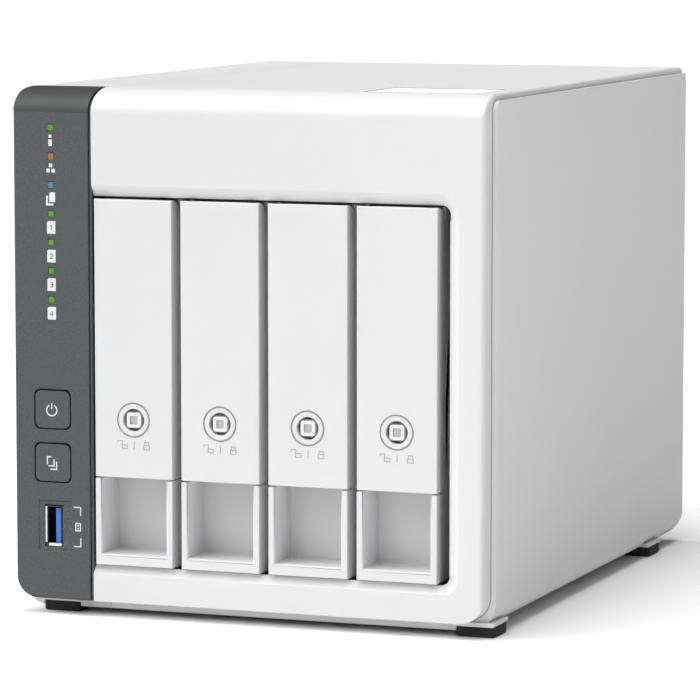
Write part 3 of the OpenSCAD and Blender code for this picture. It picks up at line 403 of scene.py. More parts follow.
class Paint(Enum):
    """Every finish of the object."""

    # Spark-eroded mould texture on white ABS: fine, dead-even grain that keeps highlights soft and wide.
    WHITE_ABS = Finish("spark_textured_white_abs", "white_abs", "DBDBDC", 0.55, grain_mm=0.35,
                       grain_depth_mm=0.006, tint="D8D8D9", tint_mm=45)
    # The same resin from a polished mould: it catches a tighter highlight than the textured covers.
    GLOSS_WHITE = Finish("polished_mould_white_abs", "white_abs", "E2E2E2", 0.32, grain_mm=0.5,
                         grain_depth_mm=0.001, tint="DFDFDF")
    # Dark ABS with very fine pale flecks under a satin texture: reads as soft graphite, never as flat grey.
    DARK_ABS = Flecked("flecked_graphite_abs", "dark_abs", "434547", 0.5, grain_mm=0.3, grain_depth_mm=0.01,
                       tint="47494B", tint_mm=20)
    # Painted shade: the same flecked resin, darker and with a finer grain, on the bezel's brow. The darkness
    # stands in for how the light falls on its curve.
    BROW_SHADE = Flecked("polished_graphite_abs", "dark_abs", "373938", 0.55, grain_mm=0.3,
                        grain_depth_mm=0.004, tint="3A3C3B", tint_mm=20, fleck="484A49")
    # Galvanised sheet: crystals of slightly different grey under a dull metal sheen.
    ZINC_SHEET = Galvanised("spangled_zinc_sheet", "steel_sheet", "AEB1B3", 0.42, metallic=1.0, grain_mm=0.5,
                            grain_depth_mm=0.004, gloss_play=0.08, tint="BDC0C2")
    # Bright nickel plate on drawn steel: sharp reflections with faint drawing lines along the piece.
    NICKEL = Finish("bright_nickel_plate", "nickel", "D5D3CC", 0.22, metallic=1.0, grain_mm=0.3,
                    grain_depth_mm=0.002, gloss_play=0.07, tint="C6C3BB", tint_mm=8, stretch=(1.0, 0.1, 1.0))
    # Zinc-plated screws: slightly blue and duller than nickel.
    ZINC_SCREW = Finish("blue_zinc_plated_screw", "nickel", "B4B9BE", 0.33, metallic=1.0, grain_mm=0.2,
                        grain_depth_mm=0.004, gloss_play=0.1, tint="9EA5AC", tint_mm=2)
    # Turned brass: warm, with the fine rings of the lathe.
    BRASS = Finish("turned_brass", "brass", "C9A24E", 0.3, metallic=1.0, grain_mm=0.25, grain_depth_mm=0.004,
                   tint="B58C3C", tint_mm=5)
    # Gold flash on contacts: small warm glints.
    GOLD = Finish("gold_flashed_contact", "brass", "E0B860", 0.24, metallic=1.0, grain_mm=0.3,
                  grain_depth_mm=0.001, tint="D3A94F", tint_mm=3)
    # Die-cast aluminium with a blasted skin: matt, grey, faintly mottled.
    CAST = Finish("blasted_die_cast_aluminium", "cast_aluminium", "8E9093", 0.52, metallic=1.0, grain_mm=0.35,
                  grain_depth_mm=0.02, gloss_play=0.08, tint="7C7E82", tint_mm=9)
    # Pressed and brushed cover plate: long fine scratches that draw the highlight out.
    BRUSHED = Finish("brushed_aluminium_cover", "cast_aluminium", "B9BBBD", 0.34, metallic=1.0, grain_mm=0.25,
                     grain_depth_mm=0.004, gloss_play=0.1, tint="ABADB0", tint_mm=14,
                     stretch=(1.0, 0.06, 1.0))
    # Extruded and anodised heat sink: even satin with faint extrusion lines.
    ANODISED = Finish("anodised_extrusion", "aluminium", "A4A7AA", 0.4, metallic=1.0, grain_mm=0.4,
                      grain_depth_mm=0.003, tint="979A9E", tint_mm=12, stretch=(1.0, 0.08, 1.0))
    # Moulded rubber: black, dry and slightly dusty.
    RUBBER = Finish("moulded_black_rubber", "rubber", "1B1B1B", 0.82, grain_mm=0.3, grain_depth_mm=0.02,
                    tint="262625", tint_mm=5)
    # Glass-filled black plastic: dull grey-black with flow marks. On the port's rim and the bezel's lower
    # edge the same colour is painted shade.
    BLACK = Finish("glass_filled_black_plastic", "black_plastic", "1E1F20", 0.48, grain_mm=0.3,
                   grain_depth_mm=0.01, gloss_play=0.1, tint="27282A", tint_mm=12)
    # Satin grey acetal of the lock cores and clips: waxy, with a soft broad highlight.
    ACETAL = Finish("satin_grey_acetal", "grey_plastic", "97999B", 0.42, grain_mm=0.4, grain_depth_mm=0.004,
                    tint="8E9092", tint_mm=6)
    # The same acetal undyed, in the key slots: pale and slightly waxy.
    PALE_ACETAL = Finish("satin_pale_acetal", "grey_plastic", "BEBFC0", 0.4, grain_mm=0.4,
                         grain_depth_mm=0.004, tint="B6B7B8", tint_mm=6)
    # Undyed nylon: warm white and slightly waxy.
    NYLON = Finish("natural_nylon", "natural_nylon", "E4DFD0", 0.4, grain_mm=0.5, grain_depth_mm=0.004,
                   tint="DAD4C3", tint_mm=15)
    # Blue carrier of a fast port: saturated and slightly glossy.
    PORT_BLUE = Finish("glossy_blue_port_tongue", "blue_plastic", "2F7FE0", 0.32, grain_mm=0.3,
                       grain_depth_mm=0.002, tint="2A74D2", tint_mm=3)
    # The same port's dark carrier at the back: almost black, with a trace of blue. Its lining inside the
    # shell is partly a real insulator and partly painted shade for the dark inside of the port.
    PORT_DARK = Finish("navy_port_carrier", "blue_plastic", "040B1E", 0.5, grain_mm=0.3, grain_depth_mm=0.004,
                       tint="060F28", tint_mm=3)
    # Frosted polycarbonate light guides, lit from behind: an even, dim colour with no hot spot.
    GREEN_LIGHT = Finish("frosted_guide_lit_green", "light_pipe", "4C801F", 0.4, ior=1.58, glow=0.12,
                         grain_mm=0.25, grain_depth_mm=0.005, tint="528A1D", tint_mm=0.8)
    AMBER_LIGHT = Finish("frosted_guide_lit_amber", "light_pipe", "8C6A1C", 0.4, ior=1.58, glow=0.1,
                         grain_mm=0.25, grain_depth_mm=0.005, tint="977022", tint_mm=0.8)
    BLUE_LIGHT = Finish("frosted_guide_lit_blue", "light_pipe", "3F6E80", 0.4, ior=1.58, glow=0.1,
                        grain_mm=0.25, grain_depth_mm=0.005, tint="467788", tint_mm=0.8)
    # Pad-printed white ink: thin, matt, very slightly uneven. On the port's rim the same colour is a painted
    # highlight.
    WHITE_INK = Finish("pad_printed_white_ink", "", "E4E4E4", 0.6, grain_mm=0.15, grain_depth_mm=0.003,
                       tint="DCDCDC", tint_mm=1.5)
    # Pad-printed pale grey ink: barely darker than the white plastic that it lies on.
    GREY_INK = Finish("pad_printed_grey_ink", "", "989898", 0.6, grain_mm=0.15, grain_depth_mm=0.003,
                      tint="A2A2A2", tint_mm=1.5)
    # Painted shade: a mid grey, matt line round each lock stands in for its shadowed line.
    GREY_LINE = Finish("pad_printed_mid_grey_ink", "", "77787A", 0.6, grain_mm=0.15, grain_depth_mm=0.003,
                       tint="808183", tint_mm=1.5)
    # Painted shade: a matt grey strip in the gap between front and side, and the side's faces in that gap,
    # stand in for the gap's soft dark line of shadow.
    GAP_SHADE = Finish("grey_foam_seal", "", "98999B", 0.9, grain_mm=0.3, grain_depth_mm=0.02, tint="909193",
                  tint_mm=2)
    # Pad-printed dark ink of the digits. On the top label the same ink is painted shade of the recess edges.
    DARK_INK = Finish("pad_printed_dark_ink", "", "55565A", 0.6, grain_mm=0.15, grain_depth_mm=0.003,
                      tint="4C4D50", tint_mm=1.5)
    # Matt polyester label: brighter than the plastic round it, with no gleam even at a flat angle.
    LABEL = Finish("matt_polyester_label_film", "label_paper", "FCFCFC", 0.7, grain_mm=0.6,
                   grain_depth_mm=0.002, tint="F8F8F8", tint_mm=12)
    # Lacquered circuit board: deep green, glossy over raised traces.
    BOARD = SolderMask("green_solder_mask", "circuit_board", "0F3B22", 0.3, grain_depth_mm=0.03,
                       tint="1B5532")
    # Epoxy chip package: charcoal with the fine matt of a laser-marked mould.
    EPOXY = Finish("moulded_epoxy_package", "black_plastic", "222324", 0.6, grain_mm=0.2, grain_depth_mm=0.01,
                   tint="2A2B2C", tint_mm=4)
    # Wire insulation in three colours: soft PVC with a dull shine.
    RED_PVC = Finish("red_wire_insulation", "black_plastic", "A11F1F", 0.45, grain_mm=0.3,
                     grain_depth_mm=0.003, tint="8F1A1A", tint_mm=5)
    YELLOW_PVC = Finish("yellow_wire_insulation", "black_plastic", "C9A227", 0.45, grain_mm=0.3,
                        grain_depth_mm=0.003, tint="BA941F", tint_mm=5)
    BLACK_PVC = Finish("black_wire_insulation", "black_plastic", "202020", 0.45, grain_mm=0.3,
                       grain_depth_mm=0.003, tint="2A2A2A", tint_mm=5)

    def material(self) -> bpy.types.Material:
        """Give the finish's material, made once."""
        return bpy.data.materials.get(self.value.name) or self.value.build()


# ---------------------------------------------------------------- mesh tools

Edge = bmesh.types.BMEdge
Where = Callable[[Edge], bool]
WELD_MM = 0.03
FLAT_ANGLE = math.radians(0.4)
SHARP_ANGLE = math.radians(28)
SLACK_MM = 0.02
INK_MM = 0.05


class Axis(Enum):
    """The direction that a flat outline is drawn out along, then the two axes that it lies in."""

    X = (0, 1, 2)
    Y = (1, 0, 2)
    Z = (2, 0, 1)

    def at(self, point: Point, depth: float) -> Vector:
        """Place a point of the outline at a depth.

        Args:
            point: The point in the outline's plane.
            depth: Its place along the axis.

        Returns:
            The place in space.
        """
        along, first, second = self.value
        place = Vector((0.0, 0.0, 0.0))
        place[along], place[first], place[second] = depth, point[0], point[1]
        return place


def arc(centre: Point, radius: float, start: float, end: float, steps: int = 16) -> Outline:
    """Place points along a circular arc.

    Args:
        centre: The arc's centre.
        radius: Its radius.
        start: First angle in degrees.
        end: Last angle in degrees.
        steps: How many chords.

    Returns:
        The points.
    """
    turns = [math.radians(start + (end - start) * i / steps) for i in range(steps + 1)]
    return [(centre[0] + radius * math.cos(t), centre[1] + radius * math.sin(t)) for t in turns]


def circle(centre: Point, radius: float, sides: int = 32) -> Outline:
    """Place points round a circle.

    Args:
        centre: Its centre.
        radius: Its radius.
        sides: How many points.

    Returns:
        The points.
    """
    return arc(centre, radius, 0, 360, sides)[:-1]


def rounded(low: Point, high: Point, radius: float, steps: int = 6) -> Outline:
    """Place points round a rectangle with rounded corners.

    Args:
        low: Lower left corner.
        high: Upper right corner.
        radius: Corner radius.
        steps: Chords in each corner.

    Returns:
        The points.
    """
    (x0, z0), (x1, z1), r = low, high, radius
    return (arc((x1 - r, z0 + r), r, -90, 0, steps) + arc((x1 - r, z1 - r), r, 0, 90, steps)
            + arc((x0 + r, z1 - r), r, 90, 180, steps) + arc((x0 + r, z0 + r), r, 180, 270, steps))


def cast(outline: Outline, centre: Point, radius: float) -> Outline:
    """Move an outline's points straight out onto a circle.

    Args:
        outline: The points.
        centre: The circle's centre.
        radius: Its radius.

    Returns:
        One point on the circle for each point of the outline.
    """
    out = []
    for point in outline:
        away = (Vector(point) - Vector(centre)).normalized() * radius
        out.append((centre[0] + away.x, centre[1] + away.y))
    return out


def shifted(outline: Outline, by: Point) -> Outline:
    """Move an outline.

    Args:
        outline: The points.
        by: How far in each direction.

    Returns:
        The moved points.
    """
    return [(x + by[0], z + by[1]) for x, z in outline]


def in_plane(axis: int, value: float) -> Where:
    """Make a test for edges that lie in a plane.

    Args:
        axis: 0, 1 or 2 for X, Y or Z.
        value: Where the plane is.

    Returns:
        The test.
    """
    return lambda edge: all(abs(v.co[axis] / MM - value) < SLACK_MM for v in edge.verts)


def longer_than(length: float) -> Where:
    """Make a test for edges longer than a length in millimetres."""
    return lambda edge: edge.calc_length() > length * MM


def is_sharp(edge: Edge) -> bool:
    """Tell whether an edge joins two faces at a clear angle."""
    return len(edge.link_faces) == 2 and edge.calc_face_angle(0.0) > SHARP_ANGLE


class Form:
    """A mesh under construction, with its lengths in millimetres."""

    def __init__(self, name: str, body: str = "chassis") -> None:
        """Start an empty form.

        Args:
            name: The name of the piece that it becomes.
            body: The body that it moves with.
        """
        self.name = name
        self.body = body
        self.nodes: list[str] = []
        self.bm = bmesh.new()

    @classmethod
    def of_node(cls, node: str) -> "Form":
        """Start from a frame node's exact shape, with its flat faces made whole again.

        Args:
            node: The frame node.

        Returns:
            The form, which stands for the node.
        """
        source = frame["nodes"][node]
        form = cls(f"{node}.finished", source["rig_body"])
        form.nodes.append(node)
        form.bm.from_mesh(source.data)
        bm = form.bm
        bmesh.ops.remove_doubles(bm, verts=bm.verts, dist=WELD_MM * MM)
        bmesh.ops.dissolve_degenerate(bm, dist=WELD_MM * MM, edges=bm.edges)
        bmesh.ops.dissolve_limit(bm, angle_limit=FLAT_ANGLE, verts=bm.verts, edges=bm.edges)
        return form

    def sharp_edges(self, where: Where | None = None) -> list[Edge]:
        """Find the form's sharp edges.

        Args:
            where: A test that an edge has to pass.

        Returns:
            The edges.
        """
        return [e for e in self.bm.edges if is_sharp(e) and (where is None or where(e))]

    def ease(self, width: float, where: Where | None = None, segments: int = 2) -> "Form":
        """Round the sharp edges, but for those too short to take it between two corners.

        Args:
            width: Width of the rounding.
            where: A test that an edge has to pass.
            segments: How many faces make the rounding.

        Returns:
            The form itself.
        """
        corners = {v for v in self.bm.verts if sum(map(is_sharp, v.link_edges)) > 2}
        edges = [e for e in self.sharp_edges(where)
                 if e.calc_length() > 2.5 * width * MM or not corners.intersection(e.verts)]
        if edges:
            bmesh.ops.bevel(self.bm, geom=edges, offset=width * MM, offset_type="OFFSET", segments=segments,
                            profile=0.5, affect="EDGES", clamp_overlap=False, material=-1)
        return self

    def split_x(self, x: float, above_z: float) -> "Form":
        """Cut the faces above a height along a plane across X, so that each side can take its own finish.

        Args:
            x: Where the plane is.
            above_z: The height that a face has to lie above.

        Returns:
            The form itself.
        """
        faces = [f for f in self.bm.faces if min(v.co.z for v in f.verts) / MM > above_z - SLACK_MM]
        edges = {e for f in faces for e in f.edges}
        verts = {v for f in faces for v in f.verts}
        bmesh.ops.bisect_plane(self.bm, geom=[*verts, *edges, *faces], plane_co=(x * MM, 0.0, 0.0),
                               plane_no=(1.0, 0.0, 0.0))
        return self

    def set_back(self, plane_y: float, by: float) -> "Form":
        """Move the front face back a little, to leave room for ink.

        Args:
            plane_y: The front face's Y.
            by: How far back.

        Returns:
            The form itself.
        """
        for vert in self.bm.verts:
            if vert.co.y / MM < plane_y + SLACK_MM:
                vert.co.y += by * MM
        return self

    def loft(self, loops: Sequence[Sequence[Vector]], closed: bool = False) -> "Form":
        """Join loops of points with faces, and cap the ends.

        Args:
            loops: Loops with the same number of points.
            closed: Whether the last loop joins the first, with no caps.

        Returns:
            The form itself.
        """
        rings = [[self.bm.verts.new(p * MM) for p in loop] for loop in loops]
        count = len(rings[0])
        for first, second in zip(rings, rings[1:] + (rings[:1] if closed else [])):
            for i in range(count):
                j = (i + 1) % count
                self.bm.faces.new((first[i], first[j], second[j], second[i]))
        if not closed:
            self.bm.faces.new(list(reversed(rings[0])))
            self.bm.faces.new(rings[-1])
        return self

    def stack(self, layers: Sequence[tuple[Outline, float]], axis: Axis = Axis.Y) -> "Form":
        """Join flat outlines that lie at depths along an axis.

        Args:
            layers: Outlines with the same number of points, and their depths.
            axis: The axis.

        Returns:
            The form itself.
        """
        return self.loft([[axis.at(p, depth) for p in outline] for outline, depth in layers])

    def plate(self, outline: Outline, low: float, high: float, axis: Axis = Axis.Y) -> "Form":
        """Draw a flat outline out along an axis.

        Args:
            outline: The corner points.
            low: Where it starts.
            high: Where it ends.
            axis: The axis.

        Returns:
            The form itself.
        """
        return self.stack([(outline, low), (outline, high)], axis)

    def ring(self, outer: Outline, inner: Outline, low: float, high: float, axis: Axis = Axis.Y) -> "Form":
        """Draw a flat ring out along an axis.

        Args:
            outer: Outer outline.
            inner: Inner outline, with as many points.
            low: Where it starts.
            high: Where it ends.
            axis: The axis.

        Returns:
            The form itself.
        """
        layers = ((outer, low), (outer, high), (inner, high), (inner, low))
        return self.loft([[axis.at(p, depth) for p in outline] for outline, depth in layers], closed=True)

    def block(self, low: Sequence[float], high: Sequence[float]) -> "Form":
        """Add a box between two opposite corners.

        Args:
            low: Lowest corner.
            high: Highest corner.

        Returns:
            The form itself.
        """
        (x0, y0, z0), (x1, y1, z1) = low, high
        return self.plate([(x0, z0), (x1, z0), (x1, z1), (x0, z1)], y0, y1)

    def turned(self, centre: Point, profile: Sequence[Point], axis: Axis = Axis.Y, sides: int = 32) -> "Form":
        """Add a shape turned about an axis.

        Args:
            centre: Where the axis crosses its plane.
            profile: (place along the axis, radius) from one end to the other.
            axis: The axis.
            sides: Faces round it.

        Returns:
            The form itself.
        """
        return self.stack([(circle(centre, radius, sides), depth) for depth, radius in profile], axis)

    def ribbon(self, points: Outline, width: float, low: float, high: float, axis: Axis = Axis.Y) -> "Form":
        """Add a flat line of even width, drawn out along an axis. It closes if its ends meet.

        Args:
            points: The line's points.
            width: Its width.
            low: Where it starts along the axis.
            high: Where it ends.
            axis: The axis.

        Returns:
            The form itself.
        """
        closed = points[0] == points[-1]
        line = [Vector(p) for p in (points[:-1] if closed else points)]
        count = len(line)
        left, right = [], []
        for i, here in enumerate(line):
            before = line[i - 1] if closed or i else here
            after = line[(i + 1) % count] if closed or i < count - 1 else here
            first = (here - before).normalized() if here != before else (after - here).normalized()
            second = (after - here).normalized() if after != here else first
            normal = Vector((-(first + second).y, (first + second).x)).normalized()
            shift = normal * width / 2 / max(normal.dot(Vector((-first.y, first.x))), 0.4)
            left.append(tuple(here + shift))
            right.append(tuple(here - shift))
        if closed:
            return self.ring(left, right, low, high, axis)
        return self.plate(left + list(reversed(right)), low, high, axis)

    def wire(self, points: Sequence[Sequence[float]], radius: float, sides: int = 8) -> "Form":
        """Add a round wire along a line of points.

        Args:
            points: The line's points.
            radius: Radius of the wire.
            sides: Faces round it.

        Returns:
            The form itself.
        """
        line = [Vector(p) for p in points]
        loops = []
        for i, here in enumerate(line):
            along = (line[min(i + 1, len(line) - 1)] - line[max(i - 1, 0)]).normalized()
            across = along.cross(Vector((0.0, 0.0, 1.0))).normalized()
            other = along.cross(across)
            turns = [2 * math.pi * k / sides for k in range(sides)]
            loops.append([here + radius * (math.cos(t) * across + math.sin(t) * other) for t in turns])
        return self.loft(loops)

    def piece(self, paint: Paint, stands_for: Iterable[str] = ()) -> bpy.types.Object:
        """Turn the form into an object that rides on its body.

        Args:
            paint: Its finish.
            stands_for: Frame nodes that it replaces, besides the one that it was made from.

        Returns:
            The object.
        """
        bmesh.ops.recalc_face_normals(self.bm, faces=self.bm.faces)
        mesh = bpy.data.meshes.new(self.name)
        self.bm.to_mesh(mesh)
        self.bm.free()
        mesh.shade_smooth()
        mesh.set_sharp_from_angle(angle=SHARP_ANGLE)
        mesh.materials.append(paint.material())
        piece = bpy.data.objects.new(self.name, mesh)
        bpy.context.scene.collection.objects.link(piece)
        shading = piece.modifiers.new("even_shading", "WEIGHTED_NORMAL")
        shading.keep_sharp = True
        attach(piece, self.body)
        names = [*self.nodes, *stands_for]
        if names:
            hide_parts(*names)
        log.info("%s on %s: %d faces, %s", self.name, self.body, len(mesh.polygons), paint.value.name)
        return piece


@dataclass(frozen=True)
class Box:
    """A node's box at rest, in millimetres."""

    low: tuple[float, ...]
    high: tuple[float, ...]

    @classmethod
    def of(cls, node: str) -> "Box":
        """Read a node's box from the frame.

        Args:
            node: The frame node.

        Returns:
            The box.
        """
        low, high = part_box(node)
        return cls(tuple(v / MM for v in low), tuple(v / MM for v in high))

    def mid(self, axis: int) -> float:
        """Give the middle along an axis."""
        return (self.low[axis] + self.high[axis]) / 2


FRONT_Y = CAD_BOX[0][1] / MM
RIGHT_X = CAD_BOX[1][0] / MM
LEFT_X = CAD_BOX[0][0] / MM


@dataclass(frozen=True)
class PhillipsHead:
    """A pan-head screw's head with a cross recess, facing back along +Y."""

    radius: float = 3.0
    height: float = 1.4
    recess: float = 1.0
    arm: float = 1.55
    arm_w: float = 0.32

    def cross(self, scale: float) -> Outline:
        """Give the recess's outline, with each side cut in two.

        Args:
            scale: Its size against the full size.

        Returns:
            The points about the origin.
        """
        a, w = self.arm * scale, self.arm_w * scale
        corners = [(w, -a), (w, -w), (a, -w), (a, w), (w, w), (w, a), (-w, a), (-w, w), (-a, w), (-a, -w),
                   (-w, -w), (-w, -a)]
        out = []
        for here, after in zip(corners, corners[1:] + corners[:1]):
            out += [here, ((here[0] + after[0]) / 2, (here[1] + after[1]) / 2)]
        return out

    def add(self, form: Form, centre: Point, face_y: float) -> None:
        """Add the head to a form.

        Args:
            form: The form.
            centre: The screw's (x, z).
            face_y: The face that the head sits on.
        """
        cross = shifted(self.cross(1.0), centre)
        low = shifted(self.cross(0.55), centre)
        r, top = self.radius, face_y + self.height
        layers = [(cast(cross, centre, r), face_y), (cast(cross, centre, r), face_y + 0.55 * self.height),
                  (cast(cross, centre, 0.9 * r), face_y + 0.85 * self.height),
                  (cast(cross, centre, 0.65 * r), top), (cross, top), (low, top - self.recess)]
        form.stack(layers)


# ---------------------------------------------------------------- studio


@dataclass(frozen=True)
class SoftSun:
    """A distant soft light: where it comes from, its irradiance and its width in degrees."""

    toward: tuple[float, float, float]
    strength: float
    angle: float


@dataclass(frozen=True)
class Studio:
    """Camera, soft light and a plain pale floor."""

    azimuth: float = 20.38
    tilt: float = 6.28
    lens: float = 216.0
    camera_mm: tuple[float, float, float] = (486.5, -1326.3, 232.1)
    world: float = 0.02
    suns: tuple[SoftSun, ...] = (
        SoftSun((0.0, 0.0, 1.0), 1.6, 30.0),
        SoftSun((-1.0, -0.2, 0.5), 2.3, 60.0),
        SoftSun((-0.3, -0.8, 0.5), 0.32, 60.0),
        SoftSun((-0.2, -0.6, 1.0), 1.5, 60.0),
    )
    card_mm: tuple[float, float, float] = (360.0, -220.0, 140.0)
    card_aim_mm: tuple[float, float, float] = (80.0, -50.0, 60.0)
    card_size_mm: float = 200.0
    card_watts: float = 0.14

    def place_camera(self) -> None:
        """Place the camera with a long lens, a little above the top."""
        data = bpy.data.cameras.new("camera")
        data.lens = self.lens
        data.sensor_width = 36.0
        camera = bpy.data.objects.new("camera", data)
        camera.location = [v * MM for v in self.camera_mm]
        camera.rotation_euler = (math.radians(90 - self.tilt), 0.0, math.radians(self.azimuth))
        bpy.context.scene.collection.objects.link(camera)
        bpy.context.scene.camera = camera

    def light_up(self) -> None:
        """Add the distant soft lights, and a small card of light beside the right panel."""
        for i, sun in enumerate(self.suns):
            data = bpy.data.lights.new(f"soft_light_{i}", "SUN")
            data.energy = sun.strength
            data.angle = math.radians(sun.angle)
            light = bpy.data.objects.new(data.name, data)
            light.rotation_euler = Vector(sun.toward).to_track_quat("Z", "Y").to_euler()
            bpy.context.scene.collection.objects.link(light)
        data = bpy.data.lights.new("card_light", "AREA")
        data.energy = self.card_watts
        data.shape = "DISK"
        data.size = self.card_size_mm * MM
        card = bpy.data.objects.new(data.name, data)
        card.location = [v * MM for v in self.card_mm]
        away = Vector(self.card_mm) - Vector(self.card_aim_mm)
        card.rotation_euler = away.to_track_quat("Z", "Y").to_euler()
        bpy.context.scene.collection.objects.link(card)

    def build(self) -> None:
        """Build the whole studio."""
        self.place_camera()
        world = bpy.data.worlds.new("world")
        world.use_nodes = True
        world.node_tree.nodes["Background"].inputs["Color"].default_value = (1.0, 1.0, 1.0, 1.0)
        world.node_tree.nodes["Background"].inputs["Strength"].default_value = self.world
        bpy.context.scene.world = world
        bpy.context.scene.view_settings.view_transform = "Standard"
        self.light_up()
        sweep = Form("studio_floor").block((-20000, -20000, -2), (20000, 20000, -0.02))
        mesh = bpy.data.meshes.new(sweep.name)
        sweep.bm.to_mesh(mesh)
        sweep.bm.free()
        mesh.materials.append(Finish("matt_paper_sweep", "", "FAFAFA", 0.9, grain_mm=3.0).build())
        floor = bpy.data.objects.new(sweep.name, mesh)
        bpy.context.scene.collection.objects.link(floor)
        floor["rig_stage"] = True



# ---------------------------------------------------------------- sub-assemblies


@dataclass(frozen=True)
class Covers:
    """The three white mouldings and the label in the top."""

    edge: float = 0.25
    bevel_edge: float = 0.12
    brow_edge: float = 0.7
    brow_end: tuple[float, float, float] = (2.0, 14.5, 8.2)
    panel_edge: float = 0.22
    pads_below: float = 40.0
    rim_in: float = 0.5
    corner_r: float = 8.0
    gap_shade_w: float = 0.26
    gap_shade_d: float = 0.1
    gap_shade_slant: float = 0.1
    label_gap: float = 0.05
    label_r: float = 0.6
    edge_shade_r: float = 0.3
    edge_shade_w: Point = (0.35, 1.0)

    def front(self) -> None:
        """Build the front and top, with crisp lines round the opening and a soft corner at the brow."""
        form = Form.of_node("main_cover")
        box = Box.of("main_cover")
        from_right, from_front, from_top = self.brow_end
        x, y, z = box.high[0] - from_right, box.low[1] + from_front, box.high[2] - from_top
        form.ease(self.brow_edge, lambda e: all(
            v.co.x / MM > x and v.co.y / MM < y and v.co.z / MM > z for v in e.verts), 3)
        form.ease(self.bevel_edge, in_plane(1, FRONT_Y), 1)
        form.piece(Paint.WHITE_ABS)

    def side(self) -> None:
        """Build the right side, with a painted line of shade in the gap beside the front."""
        form = Form.of_node("right_cover")
        front = Box.of("main_cover")
        gap_x = front.high[0]
        upper = [v.co / MM for v in form.bm.verts if v.co.z / MM > self.pads_below]
        rim_y = min(co.y for co in upper)
        rim_top = max(co.z for co in upper if co.y < rim_y + SLACK_MM)
        outer, rim = in_plane(0, RIGHT_X), in_plane(1, rim_y)
        form.ease(self.panel_edge,
                  lambda e: outer(e) or (rim(e) and e.verts[0].co.x / MM > gap_x + self.rim_in))
        form.split_x(gap_x + self.gap_shade_w, rim_top)
        radius, half = self.corner_r, self.gap_shade_w / 2
        bend = arc((gap_x - radius, front.low[2] + radius), radius + half, 0, -80)
        # Painted shade: a grey ribbon set in the gap stands in for the gap's shadow.
        line = Form("cover_gap_seal")
        line.ribbon([(gap_x + half, rim_top), *bend], self.gap_shade_w, rim_y - SLACK_MM, rim_y + self.gap_shade_d)
        line.piece(Paint.GAP_SHADE)
        panel = form.piece(Paint.WHITE_ABS)
        # Painted shade: the side's faces inside the gap take the same grey.
        panel.data.materials.append(Paint.GAP_SHADE.material())
        for face in panel.data.polygons:
            middle = face.center / MM
            in_gap = gap_x - half < middle.x < gap_x + self.gap_shade_w
            if in_gap and middle.z > rim_top and abs(face.normal.x) < self.gap_shade_slant:
                face.material_index = 1

    def label(self) -> None:
        """Build the blank label almost level with the top, and a thin dark ring on it that is painted shade
        of the recess edges.
        """
        box = Box.of("top_label")
        (x0, y0, z0), (x1, y1, _) = box.low, box.high
        top = Box.of("main_cover").high[2] - self.label_gap
        outer = rounded((x0, y0), (x1, y1), self.label_r, 3)
        in_x, in_y = self.edge_shade_w
        inner = rounded((x0 + in_x, y0 + in_y), (x1 - in_x, y1 - in_y), self.edge_shade_r, 3)
        film = Form("top_label.finished").plate(outer, z0, top - INK_MM / 2, Axis.Z)
        film.piece(Paint.LABEL, ["top_label"])
        # Painted shade: this dark ring stands in for the shadow lines at the recess edges.
        Form("top_label_frame").ring(outer, inner, top - INK_MM / 2, top, Axis.Z).piece(Paint.DARK_INK)

    def build(self) -> None:
        """Build the front and top, the left side, the right side and the label."""
        self.front()
        Form.of_node("left_cover").ease(self.edge, in_plane(0, LEFT_X)).piece(Paint.WHITE_ABS)
        self.side()
        self.label()


@dataclass(frozen=True)
class Mark:
    """Printed shapes about a centre: filled outlines, and lines with their widths."""

    fills: tuple[tuple[Point, ...], ...] = ()
    lines: tuple[tuple[Point, ...], ...] = ()
    line_w: float = 0.4

    def print_on(self, name: str, body: str, centre: Point, paint: Paint, face_y: float = FRONT_Y,
                 depth: float = INK_MM) -> None:
        """Print the mark on a face that faces the front.

        Args:
            name: Name of the printed piece.
            body: The body that it moves with.
            centre: The mark's centre on the face.
            paint: The ink.
            face_y: The ink's outer face.
            depth: How thick the ink is.
        """
        form = Form(name, body)
        for outline in self.fills:
            form.plate(shifted(list(outline), centre), face_y, face_y + depth)
        for line in self.lines:
            form.ribbon(shifted(list(line), centre), self.line_w, face_y, face_y + depth)
        form.piece(paint)


def square(u: float, v: float, size: float) -> tuple[Point, ...]:
    """Give a square's corners.

    Args:
        u: Its centre across.
        v: Its centre up.
        size: Its side.

    Returns:
        The corners.
    """
    h = size / 2
    return ((u - h, v - h), (u + h, v - h), (u + h, v + h), (u - h, v + h))


class LampMark(Enum):
    """The marks under the three upper lights, about each light's centre."""

    STATUS = Mark(fills=(square(-0.1, -2.7, 1.0), ((-0.7, -3.75), (0.5, -3.75), (0.5, -5.85), (-0.7, -5.85))))
    NETWORK = Mark(fills=(square(0.0, -2.85, 1.2), square(-0.85, -4.5, 1.2), square(0.9, -4.5, 1.2)))
    COPY = Mark(fills=(
        ((-0.2, -2.25), (1.5, -2.25), (1.5, -5.4), (-0.55, -5.4), (-0.55, -2.7)),
        ((-1.65, -3.4), (-1.0, -3.4), (-1.0, -5.85), (0.85, -5.85), (0.85, -6.5), (-1.65, -6.5)),
    ))


TAG = Mark(fills=(((-0.9, -2.3), (1.5, -2.3), (1.5, -6.35), (-1.4, -6.35), (-1.4, -2.8)),))
DIGITS = {
    1: ((-0.25, 0.5), (0.1, 0.8), (0.1, -0.8)),
    2: ((-0.42, 0.42), (-0.32, 0.68), (0.0, 0.8), (0.34, 0.68), (0.42, 0.36), (0.25, 0.0), (-0.4, -0.72),
        (0.46, -0.72)),
    3: ((-0.4, 0.6), (-0.1, 0.8), (0.27, 0.72), (0.38, 0.42), (0.22, 0.1), (-0.06, 0.02), (0.28, -0.08),
        (0.44, -0.38), (0.28, -0.7), (-0.08, -0.8), (-0.42, -0.6)),
    4: ((0.2, -0.8), (0.2, 0.75), (-0.46, -0.38), (0.48, -0.38)),
}

